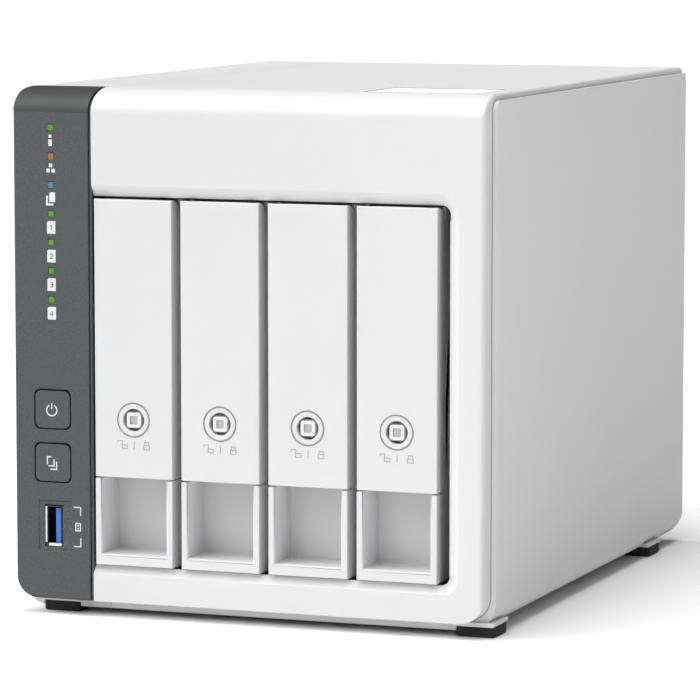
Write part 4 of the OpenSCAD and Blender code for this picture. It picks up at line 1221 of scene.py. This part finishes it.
PAGES = Mark(line_w=0.4, lines=(
    ((-1.9, -0.5), (-1.9, 1.9), (-0.5, 1.9)),
    ((0.42, 1.2), (0.42, -1.0), (-1.5, -1.0)),
    ((1.3, 0.4), (1.3, -2.1), (-0.9, -2.1)),
))
BRACKETS = Mark(line_w=0.36, lines=(
    ((7.2, 6.4), (9.6, 6.4), (9.6, 3.7)),
    ((9.6, -3.6), (9.6, -6.3), (7.2, -6.3)),
    ((7.9, -1.2), (7.9, 1.2), (9.5, 1.2), (9.5, -1.2), (7.9, -1.2)),
))
PINS = Mark(fills=(square(8.7, 0.5, 0.45), square(8.7, -0.5, 0.45)))


@dataclass(frozen=True)
class FrontPort:
    """The strip's port: shell, dark carrier, blue tongue, contacts, painted highlight and shade on its rim,
    and the marks beside it.
    """

    shell_edge: float = 0.12
    wall: float = 0.35
    lining: float = 0.3
    lining_right: float = 0.1
    back_d: float = 1.5
    tongue_t: float = 1.9
    tongue_gap: float = 0.3
    tongue_ends: float = 0.6
    tongue_edge: float = 0.25
    contact_pitch: float = 2.5
    contact_w: float = 0.9
    contact_x: tuple[float, float] = (-0.08, 0.02)
    contact_ends: tuple[float, float] = (1.0, 2.5)
    lip_y: tuple[float, float] = (-0.06, 0.4)
    left_lip: float = 0.5
    lower_lip: float = 0.9
    lip_start: float = 1.2
    lip_end: float = 0.4
    dark_lip: float = 0.36
    dark_corner: tuple[float, float] = (1.0, 1.1)

    def core(self, shell: Box) -> None:
        """Build the dark carrier, whose lining inside the shell is partly painted shade, the blue tongue and
        its contacts.

        Args:
            shell: The port's metal shell.
        """
        whole = Box.of("front_usb_tongue")
        front, back = whole.low[1], whole.high[1]
        end = back - self.back_d
        x0, x1 = shell.low[0] + self.wall, shell.high[0] - self.wall
        z0, z1 = shell.low[2] + self.wall, shell.high[2] - self.wall
        in_x0, in_x1 = x0 + self.lining, x1 - self.lining_right
        in_z0, in_z1 = z0 + self.lining, z1 - self.lining
        carrier = Form("port_carrier")
        outer = [(x0, z0), (x1, z0), (x1, z1), (x0, z1)]
        inner = [(in_x0, in_z0), (in_x1, in_z0), (in_x1, in_z1), (in_x0, in_z1)]
        # Partly painted shade: the near-black lining on the shell's inner walls also stands in for the shadow
        # inside the port.
        carrier.ring(outer, inner, front - self.lining, end)
        carrier.block((x0, end, z0), (x1, back, z1))
        carrier.piece(Paint.PORT_DARK)
        right = x1 - self.tongue_gap
        left = right - self.tongue_t
        tongue = Form("front_usb_tongue.finished")
        tongue.block((left, front, z0 + self.tongue_ends), (right, end, z1 - self.tongue_ends))
        tongue.ease(self.tongue_edge, in_plane(1, front))
        tongue.piece(Paint.PORT_BLUE, ["front_usb_tongue"])
        contacts = Form("front_usb_contacts")
        for i in range(4):
            z = whole.mid(2) + self.contact_pitch * (i - 1.5)
            contacts.block((left + self.contact_x[0], front + self.contact_ends[0], z - self.contact_w / 2),
                           (left + self.contact_x[1], back - self.contact_ends[1], z + self.contact_w / 2))
        contacts.piece(Paint.GOLD)

    def lips(self, shell: Box) -> None:
        """Paint a highlight on the port's left and bottom rim, and shade on its top and right rim.

        Args:
            shell: The port's metal shell.
        """
        (x0, y0, z0), (x1, _, z1) = shell.low, shell.high
        front, back = y0 + self.lip_y[0], y0 + self.lip_y[1]
        # Painted highlight: pale strips on the rim's left and bottom edges.
        bright = Form("port_lips_bright")
        bright.block((x0, front, z0 + self.lip_start), (x0 + self.left_lip, back, z1 - self.lip_end))
        bright.block((x0 + self.lip_start, front, z0), (x1 - self.left_lip, back, z0 + self.lower_lip))
        bright.piece(Paint.WHITE_INK)
        # Painted shade: black strips on the rim's top and right edges and at its lower left corner.
        dark = Form("port_lips_dark")
        dark.block((x0, front, z1 - self.dark_lip), (x1, back, z1))
        dark.block((x1 - self.dark_lip, front, z0 + self.lower_lip), (x1, back, z1 - self.dark_lip))
        dark.block((x0, front, z0), (x0 + self.dark_corner[0], back, z0 + self.dark_corner[1]))
        dark.piece(Paint.BLACK)

    def build(self) -> None:
        """Build the port and print the brackets beside it."""
        shell = Box.of("front_usb_shell")
        Form.of_node("front_usb_shell").ease(self.shell_edge, in_plane(1, shell.low[1])).piece(Paint.NICKEL)
        self.core(shell)
        self.lips(shell)
        centre = (shell.mid(0), shell.mid(2))
        BRACKETS.print_on("port_mark", "chassis", centre, Paint.WHITE_INK)
        PINS.print_on("port_mark_pins", "chassis", centre, Paint.WHITE_INK)


@dataclass(frozen=True)
class ControlStrip:
    """The dark bezel with its lights, marks, two buttons and port."""

    edge: float = 0.3
    brow_h: float = 7.7
    lower_edge_d: float = 1.0
    lower_slant: float = -0.2
    light_r: float = 0.15
    light_edge: float = 0.1
    lift: float = 0.01
    digit_at: Point = (0.05, 4.4)
    digit_w: float = 0.24
    button_edge: float = 0.35
    power_r: float = 1.78
    power_w: float = 0.42
    power_bar: tuple[float, float] = (0.35, 2.3)
    power_at: Point = (-0.25, -0.25)
    power_gap: float = 30.0
    inner_edge: float = 0.15

    def lights(self) -> None:
        """Light the seven guides and print the mark under each."""
        box = Box.of("light_pipes")
        front, back = box.low[1], box.high[1]
        size = box.high[0] - box.low[0]
        half, x = size / 2, box.mid(0)
        names = [m.name.lower() for m in LampMark] + [f"bay_{i}" for i in BAYS]
        paints = [Paint.GREEN_LIGHT, Paint.AMBER_LIGHT, Paint.BLUE_LIGHT] + [Paint.GREEN_LIGHT] * len(BAYS)
        marks = [m.value for m in LampMark] + [TAG] * len(BAYS)
        top = box.high[2] - half
        pitch = (box.high[2] - box.low[2] - size) / (len(names) - 1)
        for i, (name, paint, mark) in enumerate(zip(names, paints, marks)):
            z = top - i * pitch
            guide = Form(f"{name}_light")
            guide.plate(rounded((x - half, z - half), (x + half, z + half), self.light_r, 2), front, back)
            guide.ease(self.light_edge, in_plane(1, front))
            guide.piece(paint, ["light_pipes"])
            mark.print_on(f"{name}_mark", "chassis", (x, z), Paint.WHITE_INK, FRONT_Y + self.lift,
                          INK_MM - self.lift)
        for i in BAYS:
            centre = (x + self.digit_at[0], top - (i + len(LampMark) - 1) * pitch - self.digit_at[1])
            digit = Mark(lines=(DIGITS[i],), line_w=self.digit_w)
            digit.print_on(f"bay_{i}_digit", "chassis", centre, Paint.DARK_INK, FRONT_Y, INK_MM / 2)

    def buttons(self) -> None:
        """Build the two buttons with their marks."""
        gap = self.power_gap
        circle_line = tuple(arc((0.0, 0.0), self.power_r, 90 + gap, 450 - gap, 32))
        bar_line = tuple((0.0, z) for z in self.power_bar)
        power = Mark(lines=(circle_line, bar_line), line_w=self.power_w)
        kinds = (("power_button", power, self.power_at), ("copy_button", PAGES, (0.0, 0.0)))
        for node, mark, (dx, dz) in kinds:
            box = Box.of(node)
            form = Form.of_node(node)
            form.ease(self.button_edge, in_plane(1, box.low[1]))
            form.piece(Paint.DARK_ABS)
            mark.print_on(f"{node}_mark", node, (box.mid(0) + dx, box.mid(2) + dz), Paint.WHITE_INK,
                          box.low[1] - INK_MM / 2, INK_MM)

    def bezel(self) -> None:
        """Build the bezel, with painted shade on its finer-grained brow and on its lower edge."""
        form = Form.of_node("control_strip").set_back(FRONT_Y, INK_MM)
        form.ease(self.edge, in_plane(1, FRONT_Y + INK_MM))
        bezel = form.piece(Paint.DARK_ABS)
        bezel.data.materials.append(Paint.BROW_SHADE.material())
        bezel.data.materials.append(Paint.BLACK.material())
        brow_z = Box.of("control_strip").high[2] - self.brow_h
        for face in bezel.data.polygons:
            # Painted shade: the brow above brow_z takes the darker colour.
            if face.center.z / MM > brow_z:
                face.material_index = 1
            # Painted shade: faces near the front that face down take black plastic.
            elif face.normal.z < self.lower_slant and face.center.y / MM < FRONT_Y + self.lower_edge_d:
                face.material_index = 2

    def build(self) -> None:
        """Build the strip and all that is in it."""
        self.bezel()
        self.lights()
        self.buttons()
        FrontPort().build()
        for node, paint in (("front_board", Paint.BOARD), ("button_switches", Paint.BLACK)):
            Form.of_node(node).ease(self.inner_edge, None, 1).piece(paint)


OPEN_LOCK = (
    ((-5.4, -7.5), (-5.4, -6.8), (-3.9, -6.8), (-3.9, -8.05)),
    ((-4.0, -8.05), (-2.2, -8.05), (-2.2, -9.2), (-4.0, -9.2), (-4.0, -8.05)),
)
SHUT_LOCK = (
    ((3.85, -8.0), (3.85, -7.0), (5.25, -7.0), (5.25, -8.0)),
    ((3.6, -8.05), (5.5, -8.05), (5.5, -9.3), (3.6, -9.3), (3.6, -8.05)),
)
LOCK_MARKS = Mark(lines=(*OPEN_LOCK, ((0.2, -6.9), (0.2, -9.3)), *SHUT_LOCK), line_w=0.22)


@dataclass(frozen=True)
class Lock:
    """A handle's key lock: core, key boss, key plug, flange and cam, and the painted shade line round it."""

    bay: int
    ring_r: float = 5.45
    ring_w: float = 0.22
    well_r: float = 3.6
    core_play: float = 0.06
    core_depth: float = 1.2
    boss_size: float = 4.8
    boss_r: float = 1.0
    boss_edge: float = 0.35
    boss_front: float = 0.3
    socket_size: float = 2.7
    socket_r: float = 0.3
    socket_depth: float = 2.6
    plug_play: float = 0.05
    plug_edge: float = 0.15
    plug_front: float = 0.75
    flange_y: tuple[float, float] = (6.15, 7.35)
    flange_r: float = 4.8
    cam_w: float = 4.0
    cam_t: float = 2.0

    def core(self, centre: Point, socket: Outline) -> None:
        """Build the turning core with its flange and cam.

        Args:
            centre: The lock's (x, z).
            socket: Outline of the key's socket.
        """
        cx, cz = centre
        node = f"tray_lock_{self.bay}"
        box = Box.of(node)
        radius, half = self.well_r - self.core_play, self.cam_w / 2
        floor_y, cam_y = FRONT_Y + self.socket_depth, box.high[1] - self.cam_t
        flange_y0, flange_y1 = (FRONT_Y + y for y in self.flange_y)
        core = Form(f"{node}.finished", f"lock_{self.bay}")
        core.ring(cast(socket, centre, radius), socket, FRONT_Y + self.core_depth, floor_y)
        core.turned(centre, ((floor_y, radius), (cam_y, radius)))
        core.turned(centre, ((flange_y0, self.flange_r), (flange_y1, self.flange_r)))
        core.block((cx - half, cam_y, cz - half), (cx + half, box.high[1], box.high[2]))
        core.piece(Paint.ACETAL, [node])

    def key(self, centre: Point, socket: Outline) -> None:
        """Build the white boss round the key's socket, and the pale plug in it.

        Args:
            centre: The lock's (x, z).
            socket: Outline of the key's socket.
        """
        cx, cz = centre
        body = f"lock_{self.bay}"
        half, inset = self.boss_size / 2, self.socket_size / 2 - self.plug_play
        front, plug_y = FRONT_Y + self.boss_front, FRONT_Y + self.plug_front
        boss = Form(f"key_boss_{self.bay}", body)
        boss.ring(rounded((cx - half, cz - half), (cx + half, cz + half), self.boss_r, 8), socket, front,
                  FRONT_Y + self.core_depth)
        boss.ease(self.boss_edge, in_plane(1, front), 3)
        boss.piece(Paint.GLOSS_WHITE)
        plug = Form(f"key_plug_{self.bay}", body)
        corner = self.socket_r - self.plug_play
        outline = rounded((cx - inset, cz - inset), (cx + inset, cz + inset), corner, 3)
        plug.plate(outline, plug_y, FRONT_Y + self.socket_depth)
        plug.ease(self.plug_edge, in_plane(1, plug_y))
        plug.piece(Paint.PALE_ACETAL)

    def build(self) -> None:
        """Build the lock, the painted shade line round it and the marks under it."""
        box = Box.of(f"tray_lock_{self.bay}")
        cx, cz = centre = (box.mid(0), box.low[2] + self.flange_r)
        hole = self.socket_size / 2
        socket = rounded((cx - hole, cz - hole), (cx + hole, cz + hole), self.socket_r, 8)
        self.core(centre, socket)
        self.key(centre, socket)
        handle, half_w, sides = f"handle_{self.bay}", self.ring_w / 2, 64
        # Painted shade: a thin grey ring on the handle stands in for the shadowed line round the lock.
        line = Form(f"lock_ring_{self.bay}", handle)
        line.ring(circle(centre, self.ring_r + half_w, sides), circle(centre, self.ring_r - half_w, sides),
                  FRONT_Y, FRONT_Y + INK_MM)
        line.piece(Paint.GREY_LINE)
        LOCK_MARKS.print_on(f"lock_marks_{self.bay}", handle, centre, Paint.GREY_INK)


@dataclass(frozen=True)
class Chip:
    """A chip on a drive's board: its middle and its size, from the drive's lower front corner."""

    y: float
    z: float
    width: float
    height: float


@dataclass(frozen=True)
class Drive:
    """A drive: cast body, pressed cover, label, screws, controller board and its chips."""

    bay: int
    body_edge: float = 0.4
    cover_in: tuple[float, float] = (2.0, 6.0)
    cover_r: float = 5.0
    cover_x: tuple[float, float] = (-0.02, 0.45)
    cover_edge: float = 0.15
    cap_y: float = 44.0
    cap_profile: tuple[Point, Point] = ((-0.08, 14.0), (0.3, 15.0))
    label_y: tuple[float, float] = (66.0, 14.0)
    label_z: float = 16.0
    label_r: float = 2.0
    label_t: float = 0.07
    print_x: tuple[float, float] = (-0.09, -0.05)
    row_y: float = 72.0
    row_ends: tuple[float, float, float] = (126.0, 112.0, 112.0)
    row_top: float = 26.0
    row_pitch: float = 7.0
    row_h: float = 1.2
    board_y: tuple[float, float] = (74.5, 9.0)
    board_z: float = 4.0
    board_x: tuple[float, float] = (1.55, 0.7)
    chip_x: float = 0.05
    chip_edge: float = 0.1
    chips: tuple[Chip, ...] = (
        Chip(100.0, 50.0, 14.0, 14.0), Chip(122.0, 62.0, 9.0, 11.0), Chip(96.0, 74.0, 8.0, 8.0),
        Chip(120.0, 34.0, 6.0, 9.0), Chip(88.0, 28.0, 5.0, 5.0), Chip(108.0, 24.0, 4.0, 3.0),
    )
    screw_in: tuple[float, float, float] = (6.0, 10.0, 10.0)
    screw_r: tuple[float, float] = (2.4, 2.3)
    screw_x: tuple[float, float] = (-0.06, -0.08)
    star_r: tuple[float, float] = (0.825, 1.155)
    star_d: float = 0.3

    def lid(self, box: Box, body: str) -> None:
        """Build the pressed cover, its label and the lines printed on it.

        Args:
            box: The drive's box.
            body: The body that it moves with.
        """
        (x0, y0, z0), (_, y1, z1) = box.low, box.high
        front_in, rest_in = self.cover_in
        outline = rounded((y0 + front_in, z0 + rest_in), (y1 - rest_in, z1 - rest_in), self.cover_r)
        cover = Form(f"drive_cover_{self.bay}", body)
        cover.plate(outline, x0 + self.cover_x[0], x0 + self.cover_x[1], Axis.X)
        cover.ease(self.cover_edge, in_plane(0, x0 + self.cover_x[0]))
        cover.turned((y0 + self.cap_y, box.mid(2)), [(x0 + x, r) for x, r in self.cap_profile], Axis.X, 48)
        cover.piece(Paint.BRUSHED)
        outline = rounded((y0 + self.label_y[0], z0 + self.label_z),
                          (y1 - self.label_y[1], z1 - self.label_z), self.label_r)
        Form(f"drive_label_{self.bay}", body).plate(outline, x0 - self.label_t, x0, Axis.X).piece(Paint.LABEL)
        rows = Form(f"drive_label_print_{self.bay}", body)
        print_x0, print_x1 = (x0 + x for x in self.print_x)
        for row in range(7):
            z = z1 - self.row_top - row * self.row_pitch
            end = y0 + self.row_ends[row % len(self.row_ends)]
            rows.block((print_x0, y0 + self.row_y, z - self.row_h), (print_x1, end, z))
        rows.piece(Paint.DARK_INK)

    def electronics(self, box: Box, body: str) -> None:
        """Build the controller board and its chips.

        Args:
            box: The drive's box.
            body: The body that it moves with.
        """
        (_, y0, z0), (x1, y1, z1) = box.low, box.high
        board_x0, board_x1 = (x1 - x for x in self.board_x)
        board = Form(f"drive_board_{self.bay}", body)
        board.block((board_x0, y0 + self.board_y[0], z0 + self.board_z),
                    (board_x1, y1 - self.board_y[1], z1 - self.board_z))
        board.piece(Paint.BOARD)
        chips = Form(f"drive_chips_{self.bay}", body)
        for chip in self.chips:
            y, z, half_w, half_h = y0 + chip.y, z0 + chip.z, chip.width / 2, chip.height / 2
            chips.block((board_x1, y - half_w, z - half_h), (x1 - self.chip_x, y + half_w, z + half_h))
        chips.ease(self.chip_edge, None, 1)
        chips.piece(Paint.EPOXY)

    def screws(self, box: Box, body: str) -> None:
        """Build the cover's six screws with their star recesses.

        Args:
            box: The drive's box.
            body: The body that it moves with.
        """
        (x0, y0, z0), (_, y1, z1) = box.low, box.high
        front_in, back_in, side_in = self.screw_in
        screws = Form(f"drive_screws_{self.bay}", body)
        for y in (y0 + front_in, box.mid(1), y1 - back_in):
            for z in (z0 + side_in, z1 - side_in):
                star = [circle((y, z), self.star_r[k % 2], 24)[k] for k in range(24)]
                wide, narrow = (cast(star, (y, z), r) for r in self.screw_r)
                screws.stack([(wide, x0), (narrow, x0 + self.screw_x[0]), (star, x0 + self.screw_x[1]),
                              (star, x0 + self.star_d)], Axis.X)
        screws.piece(Paint.ZINC_SCREW)

    def build(self) -> None:
        """Build the drive."""
        node = f"drive_{self.bay}"
        box, body = Box.of(node), f"tray_{self.bay}"
        Form.of_node(node).ease(self.body_edge, longer_than(12.0)).piece(Paint.CAST)
        self.lid(box, body)
        self.electronics(box, body)
        self.screws(box, body)


@dataclass(frozen=True)
class Tray:
    """One drive tray: frame, handle flap, pin, lock, drive and clips."""

    bay: int
    edge: float = 0.25
    handle_edge: float = 0.3
    pin_edge: float = 0.12
    clip_edge: float = 0.2
    grip_edge: float = 0.6
    grip_x: tuple[float, float] = (2.1, 24.4)
    grip_z: float = 3.5
    front_d: float = 14.5

    def frame(self) -> None:
        """Build the frame, with a soft edge round its finger grip."""
        node = f"tray_frame_{self.bay}"
        box = Box.of(node)
        x0, x1 = (box.low[0] + x for x in self.grip_x)
        z0, front_end = box.low[2] + self.grip_z, box.low[1] + self.front_d
        face = in_plane(1, FRONT_Y)
        form = Form.of_node(node)
        form.ease(self.grip_edge, lambda e: face(e) and all(
            x0 < v.co.x / MM < x1 and v.co.z / MM > z0 for v in e.verts), 3)
        form.ease(self.edge, lambda e: all(v.co.y / MM < front_end for v in e.verts))
        for vert in form.bm.verts:
            vert.co.y = max(vert.co.y, FRONT_Y * MM)
        form.piece(Paint.WHITE_ABS)

    def build(self) -> None:
        """Build the tray and all that moves with it."""
        self.frame()
        flap = Form.of_node(f"tray_handle_{self.bay}").set_back(FRONT_Y, INK_MM)
        flap.ease(self.handle_edge, in_plane(1, FRONT_Y + INK_MM))
        flap.piece(Paint.WHITE_ABS)
        Form.of_node(f"handle_pin_{self.bay}").ease(self.pin_edge, None, 1).piece(Paint.NICKEL)
        Lock(self.bay).build()
        Drive(self.bay).build()
        clips = Form.of_node(f"drive_clips_{self.bay}")
        clips.ease(self.clip_edge, longer_than(5.0), 1).piece(Paint.ACETAL)


@dataclass(frozen=True)
class Chassis:
    """Cage, boards, connectors and feet."""

    sheet_edge: float = 0.2
    foot_edge: float = 0.6
    moulded_edge: float = 0.2
    contact_at: tuple[float, float, float] = (21.82, 3.3, 14.0)
    contact_x: tuple[float, float] = (-0.06, 0.04)
    contact_l: float = 3.0
    contact_h: float = 0.7
    contact_pitch: float = 1.27
    contact_count: int = 22
    first_row: int = 7
    row_gap: float = 3.4
    can_profile: tuple[Point, ...] = (
        (0.0, 3.0), (0.8, 3.15), (1.2, 2.9), (1.6, 3.15), (6.6, 3.15), (7.0, 2.8),
    )
    cans: tuple[Point, ...] = (
        (-60.0, 50.0), (-60.0, 62.0), (-60.0, 74.0), (20.0, 60.0), (32.0, 60.0), (60.0, 62.0),
    )
    coils: tuple[Point, ...] = ((-40.0, 46.0), (-40.0, 58.0), (-28.0, 46.0))
    coil_half: float = 3.5
    coil_r: float = 1.0
    coil_h: float = 3.2
    coil_edge: float = 0.3

    def connectors(self) -> None:
        """Build the drive sockets with their rows of contacts."""
        sockets = Form.of_node("sata_connectors")
        sockets.ease(self.moulded_edge, longer_than(3.0), 1).piece(Paint.BLACK)
        contacts = Form("sata_contacts")
        for i in BAYS:
            drive = Box.of(f"drive_{i}")
            x = Box.of(f"tray_frame_{i}").low[0] + self.contact_at[0]
            y = drive.high[1] - self.contact_at[1]
            for k in range(self.contact_count):
                gap = self.row_gap if k >= self.first_row else 0.0
                z = drive.low[2] + self.contact_at[2] + k * self.contact_pitch + gap
                contacts.block((x + self.contact_x[0], y, z),
                               (x + self.contact_x[1], y + self.contact_l, z + self.contact_h))
        contacts.piece(Paint.GOLD)

    def board_parts(self) -> None:
        """Build the main board's chips with leads, and its capacitors and inductors."""
        Form.of_node("board_chips").ease(self.moulded_edge, None, 1).piece(Paint.EPOXY)
        x = Box.of("main_board").high[0]
        cans = Form("board_capacitors")
        for centre in self.cans:
            cans.turned(centre, [(x + height, radius) for height, radius in self.can_profile], Axis.X, 24)
        cans.piece(Paint.ANODISED)
        half, top = self.coil_half, x + self.coil_h
        coils = Form("board_inductors")
        for y, z in self.coils:
            coils.plate(rounded((y - half, z - half), (y + half, z + half), self.coil_r, 3), x, top, Axis.X)
        coils.ease(self.coil_edge, in_plane(0, top), 1)
        coils.piece(Paint.EPOXY)

    def build(self) -> None:
        """Build everything that is fixed inside, and the feet."""
        Form.of_node("drive_cage").ease(self.sheet_edge, longer_than(10.0), 1).piece(Paint.ZINC_SHEET)
        Form.of_node("rubber_feet").ease(self.foot_edge, in_plane(2, 0.0)).piece(Paint.RUBBER)
        plain = {
            "bay_rails": (0.15, Paint.NYLON), "backplane_board": (0.1, Paint.BOARD),
            "main_board": (0.1, Paint.BOARD), "heatsink": (0.15, Paint.ANODISED),
            "clock_battery": (0.3, Paint.NICKEL), "board_standoffs": (0.15, Paint.BRASS),
            "board_screws": (0.25, Paint.ZINC_SCREW),
        }
        for node, (edge, paint) in plain.items():
            Form.of_node(node).ease(edge, None, 1).piece(paint)
        self.connectors()
        self.board_parts()


@dataclass(frozen=True)
class RearPanel:
    """The steel back with its ports, screws and fan."""

    sheet_edge: float = 0.15
    jack_edge: float = 0.25
    jack_pitch: float = 19.0
    jack_size: float = 16.0
    contact_path: tuple[Point, ...] = ((1.2, 2.5), (2.6, 6.5), (3.6, 14.0))
    contact_r: float = 0.2
    contact_pitch: float = 1.017
    contact_start: float = 3.56
    lamp_z: float = 6.0
    lamp_half: float = 1.1
    lamp_x: tuple[float, float] = (3.0, 0.9)
    lamp_y: tuple[float, float] = (-0.6, 0.12)
    lamp_r: float = 0.3
    screw_apart: float = 9.0
    hub_label_y: tuple[float, float] = (-0.02, 0.05)
    hub_label_r: float = 15.0
    plug_l: float = 7.0
    plug_half: Point = (5.0, 3.0)
    plug_edge: float = 0.3
    wire_in: float = 1.0
    wire_r: float = 0.55
    twist_r: float = 0.7
    twist_turns: int = 2
    twist_steps: int = 24

    def jacks(self) -> None:
        """Build the two network jacks with contacts and lights."""
        box = Box.of("network_jacks")
        back = box.high[1]
        Form.of_node("network_jacks").ease(self.jack_edge, in_plane(1, back), 1).piece(Paint.NICKEL)
        wires = Form("network_contacts")
        link, speed = Form("network_link_lights"), Form("network_speed_lights")
        lamp_x0, lamp_x1 = (box.high[0] - x for x in self.lamp_x)
        for i in range(2):
            middle = box.low[2] + self.jack_size / 2 + i * self.jack_pitch
            for k in range(8):
                z = middle - self.contact_start + k * self.contact_pitch
                wires.wire([(box.low[0] + x, back - y, z) for x, y in self.contact_path], self.contact_r, 6)
            for side, lamp in ((-1, link), (1, speed)):
                z = middle + side * self.lamp_z
                low, high = (lamp_x0, z - self.lamp_half), (lamp_x1, z + self.lamp_half)
                outline = rounded(low, high, self.lamp_r, 2)
                lamp.plate(outline, back + self.lamp_y[0], back + self.lamp_y[1])
        wires.piece(Paint.GOLD)
        link.piece(Paint.GREEN_LIGHT)
        speed.piece(Paint.AMBER_LIGHT)

    def screws(self) -> None:
        """Build the screws' heads with cross recesses over their shanks."""
        face_y = Box.of("rear_panel").high[1]
        kinds = (
            ("rear_screws", PhillipsHead(), 6.0, 1.4, Paint.ZINC_SCREW),
            ("fan_screws", PhillipsHead(radius=3.6, arm=1.8), 8.0, 2.0, Paint.BLACK),
        )
        for node, head, shank_l, shank_r, paint in kinds:
            heads = Form(f"{node}.finished")
            for place in self.round_places(node, face_y):
                head.add(heads, place, face_y)
                heads.turned(place, ((face_y - shank_l, shank_r), (face_y, shank_r)), sides=16)
            heads.piece(paint, [node])

    def round_places(self, node: str, face_y: float) -> list[Point]:
        """Find the middle of each of a node's separate screws.

        Args:
            node: The frame node.
            face_y: The panel's outer face.

        Returns:
            The (x, z) of each screw.
        """
        verts = [v.co / MM for v in frame["nodes"][node].data.vertices if v.co.y / MM > face_y]
        groups: list[list[Vector]] = []
        for co in verts:
            near = next((g for g in groups if (g[0] - co).xz.length < self.screw_apart), None)
            if near is None:
                groups.append([co])
            else:
                near.append(co)
        spans = [(sorted(c.x for c in g), sorted(c.z for c in g)) for g in groups]
        return [((xs[0] + xs[-1]) / 2, (zs[0] + zs[-1]) / 2) for xs, zs in spans]

    def fan(self) -> None:
        """Build the fan's frame, its rotor with a hub label, and its three wires."""
        Form.of_node("fan_frame").ease(0.4, longer_than(4.0)).piece(Paint.BLACK)
        rotor = Box.of("fan_rotor")
        Form.of_node("fan_rotor").ease(0.3, in_plane(1, rotor.low[1])).piece(Paint.BLACK)
        box = Box.of("fan_frame")
        low, high = (box.high[1] + y for y in self.hub_label_y)
        label = Form("fan_hub_label")
        label.turned((box.mid(0), box.mid(2)), ((low, self.hub_label_r), (high, self.hub_label_r)), sides=48)
        label.piece(Paint.LABEL)
        self.cable()

    def cable(self) -> None:
        """Build the fan's three twisted wires and their plug."""
        box = Box.of("fan_cable")
        plug_x, y, z = box.low[0] + self.plug_l, box.mid(1), box.mid(2)
        start, end = plug_x - self.wire_in, box.high[0]
        for k, paint in enumerate((Paint.BLACK_PVC, Paint.RED_PVC, Paint.YELLOW_PVC)):
            line = []
            for i in range(self.twist_steps + 1):
                along = i / self.twist_steps
                turn = 2 * math.pi * (self.twist_turns * along + k / 3)
                line.append((start + (end - start) * along, y + self.twist_r * math.cos(turn),
                             z + self.twist_r * math.sin(turn)))
            wire = Form(f"fan_wire_{k + 1}")
            wire.wire(line, self.wire_r)
            wire.piece(paint)
        half_y, half_z = self.plug_half
        plug = Form("fan_cable.finished")
        plug.block((box.low[0], y - half_y, z - half_z), (plug_x, y + half_y, z + half_z))
        plug.ease(self.plug_edge, None, 1)
        plug.piece(Paint.NYLON, ["fan_cable"])

    def build(self) -> None:
        """Build the back and everything in it."""
        backs = (
            ("rear_panel", self.sheet_edge, 1, Paint.ZINC_SHEET), ("rear_usb_shells", 0.1, 2, Paint.NICKEL),
        )
        for node, edge, segments, paint in backs:
            Form.of_node(node).ease(edge, in_plane(1, Box.of(node).high[1]), segments).piece(paint)
        Form.of_node("rear_usb_tongues").ease(0.15, longer_than(1.0), 1).piece(Paint.BLACK)
        Form.of_node("power_inlet").ease(0.4, in_plane(1, Box.of("power_inlet").high[1])).piece(Paint.BLACK)
        Form.of_node("inlet_pin").ease(0.3).piece(Paint.NICKEL)
        Form.of_node("reset_button").ease(0.2).piece(Paint.BLACK)
        self.jacks()
        self.screws()
        self.fan()


def main() -> None:
    """Build every sub-assembly in order and report each piece."""
    logging.basicConfig(level=logging.INFO, format="%(message)s")
    Studio().build()
    Covers().build()
    ControlStrip().build()
    for bay in BAYS:
        Tray(bay).build()
    Chassis().build()
    RearPanel().build()


if __name__ == "__main__":
    main()
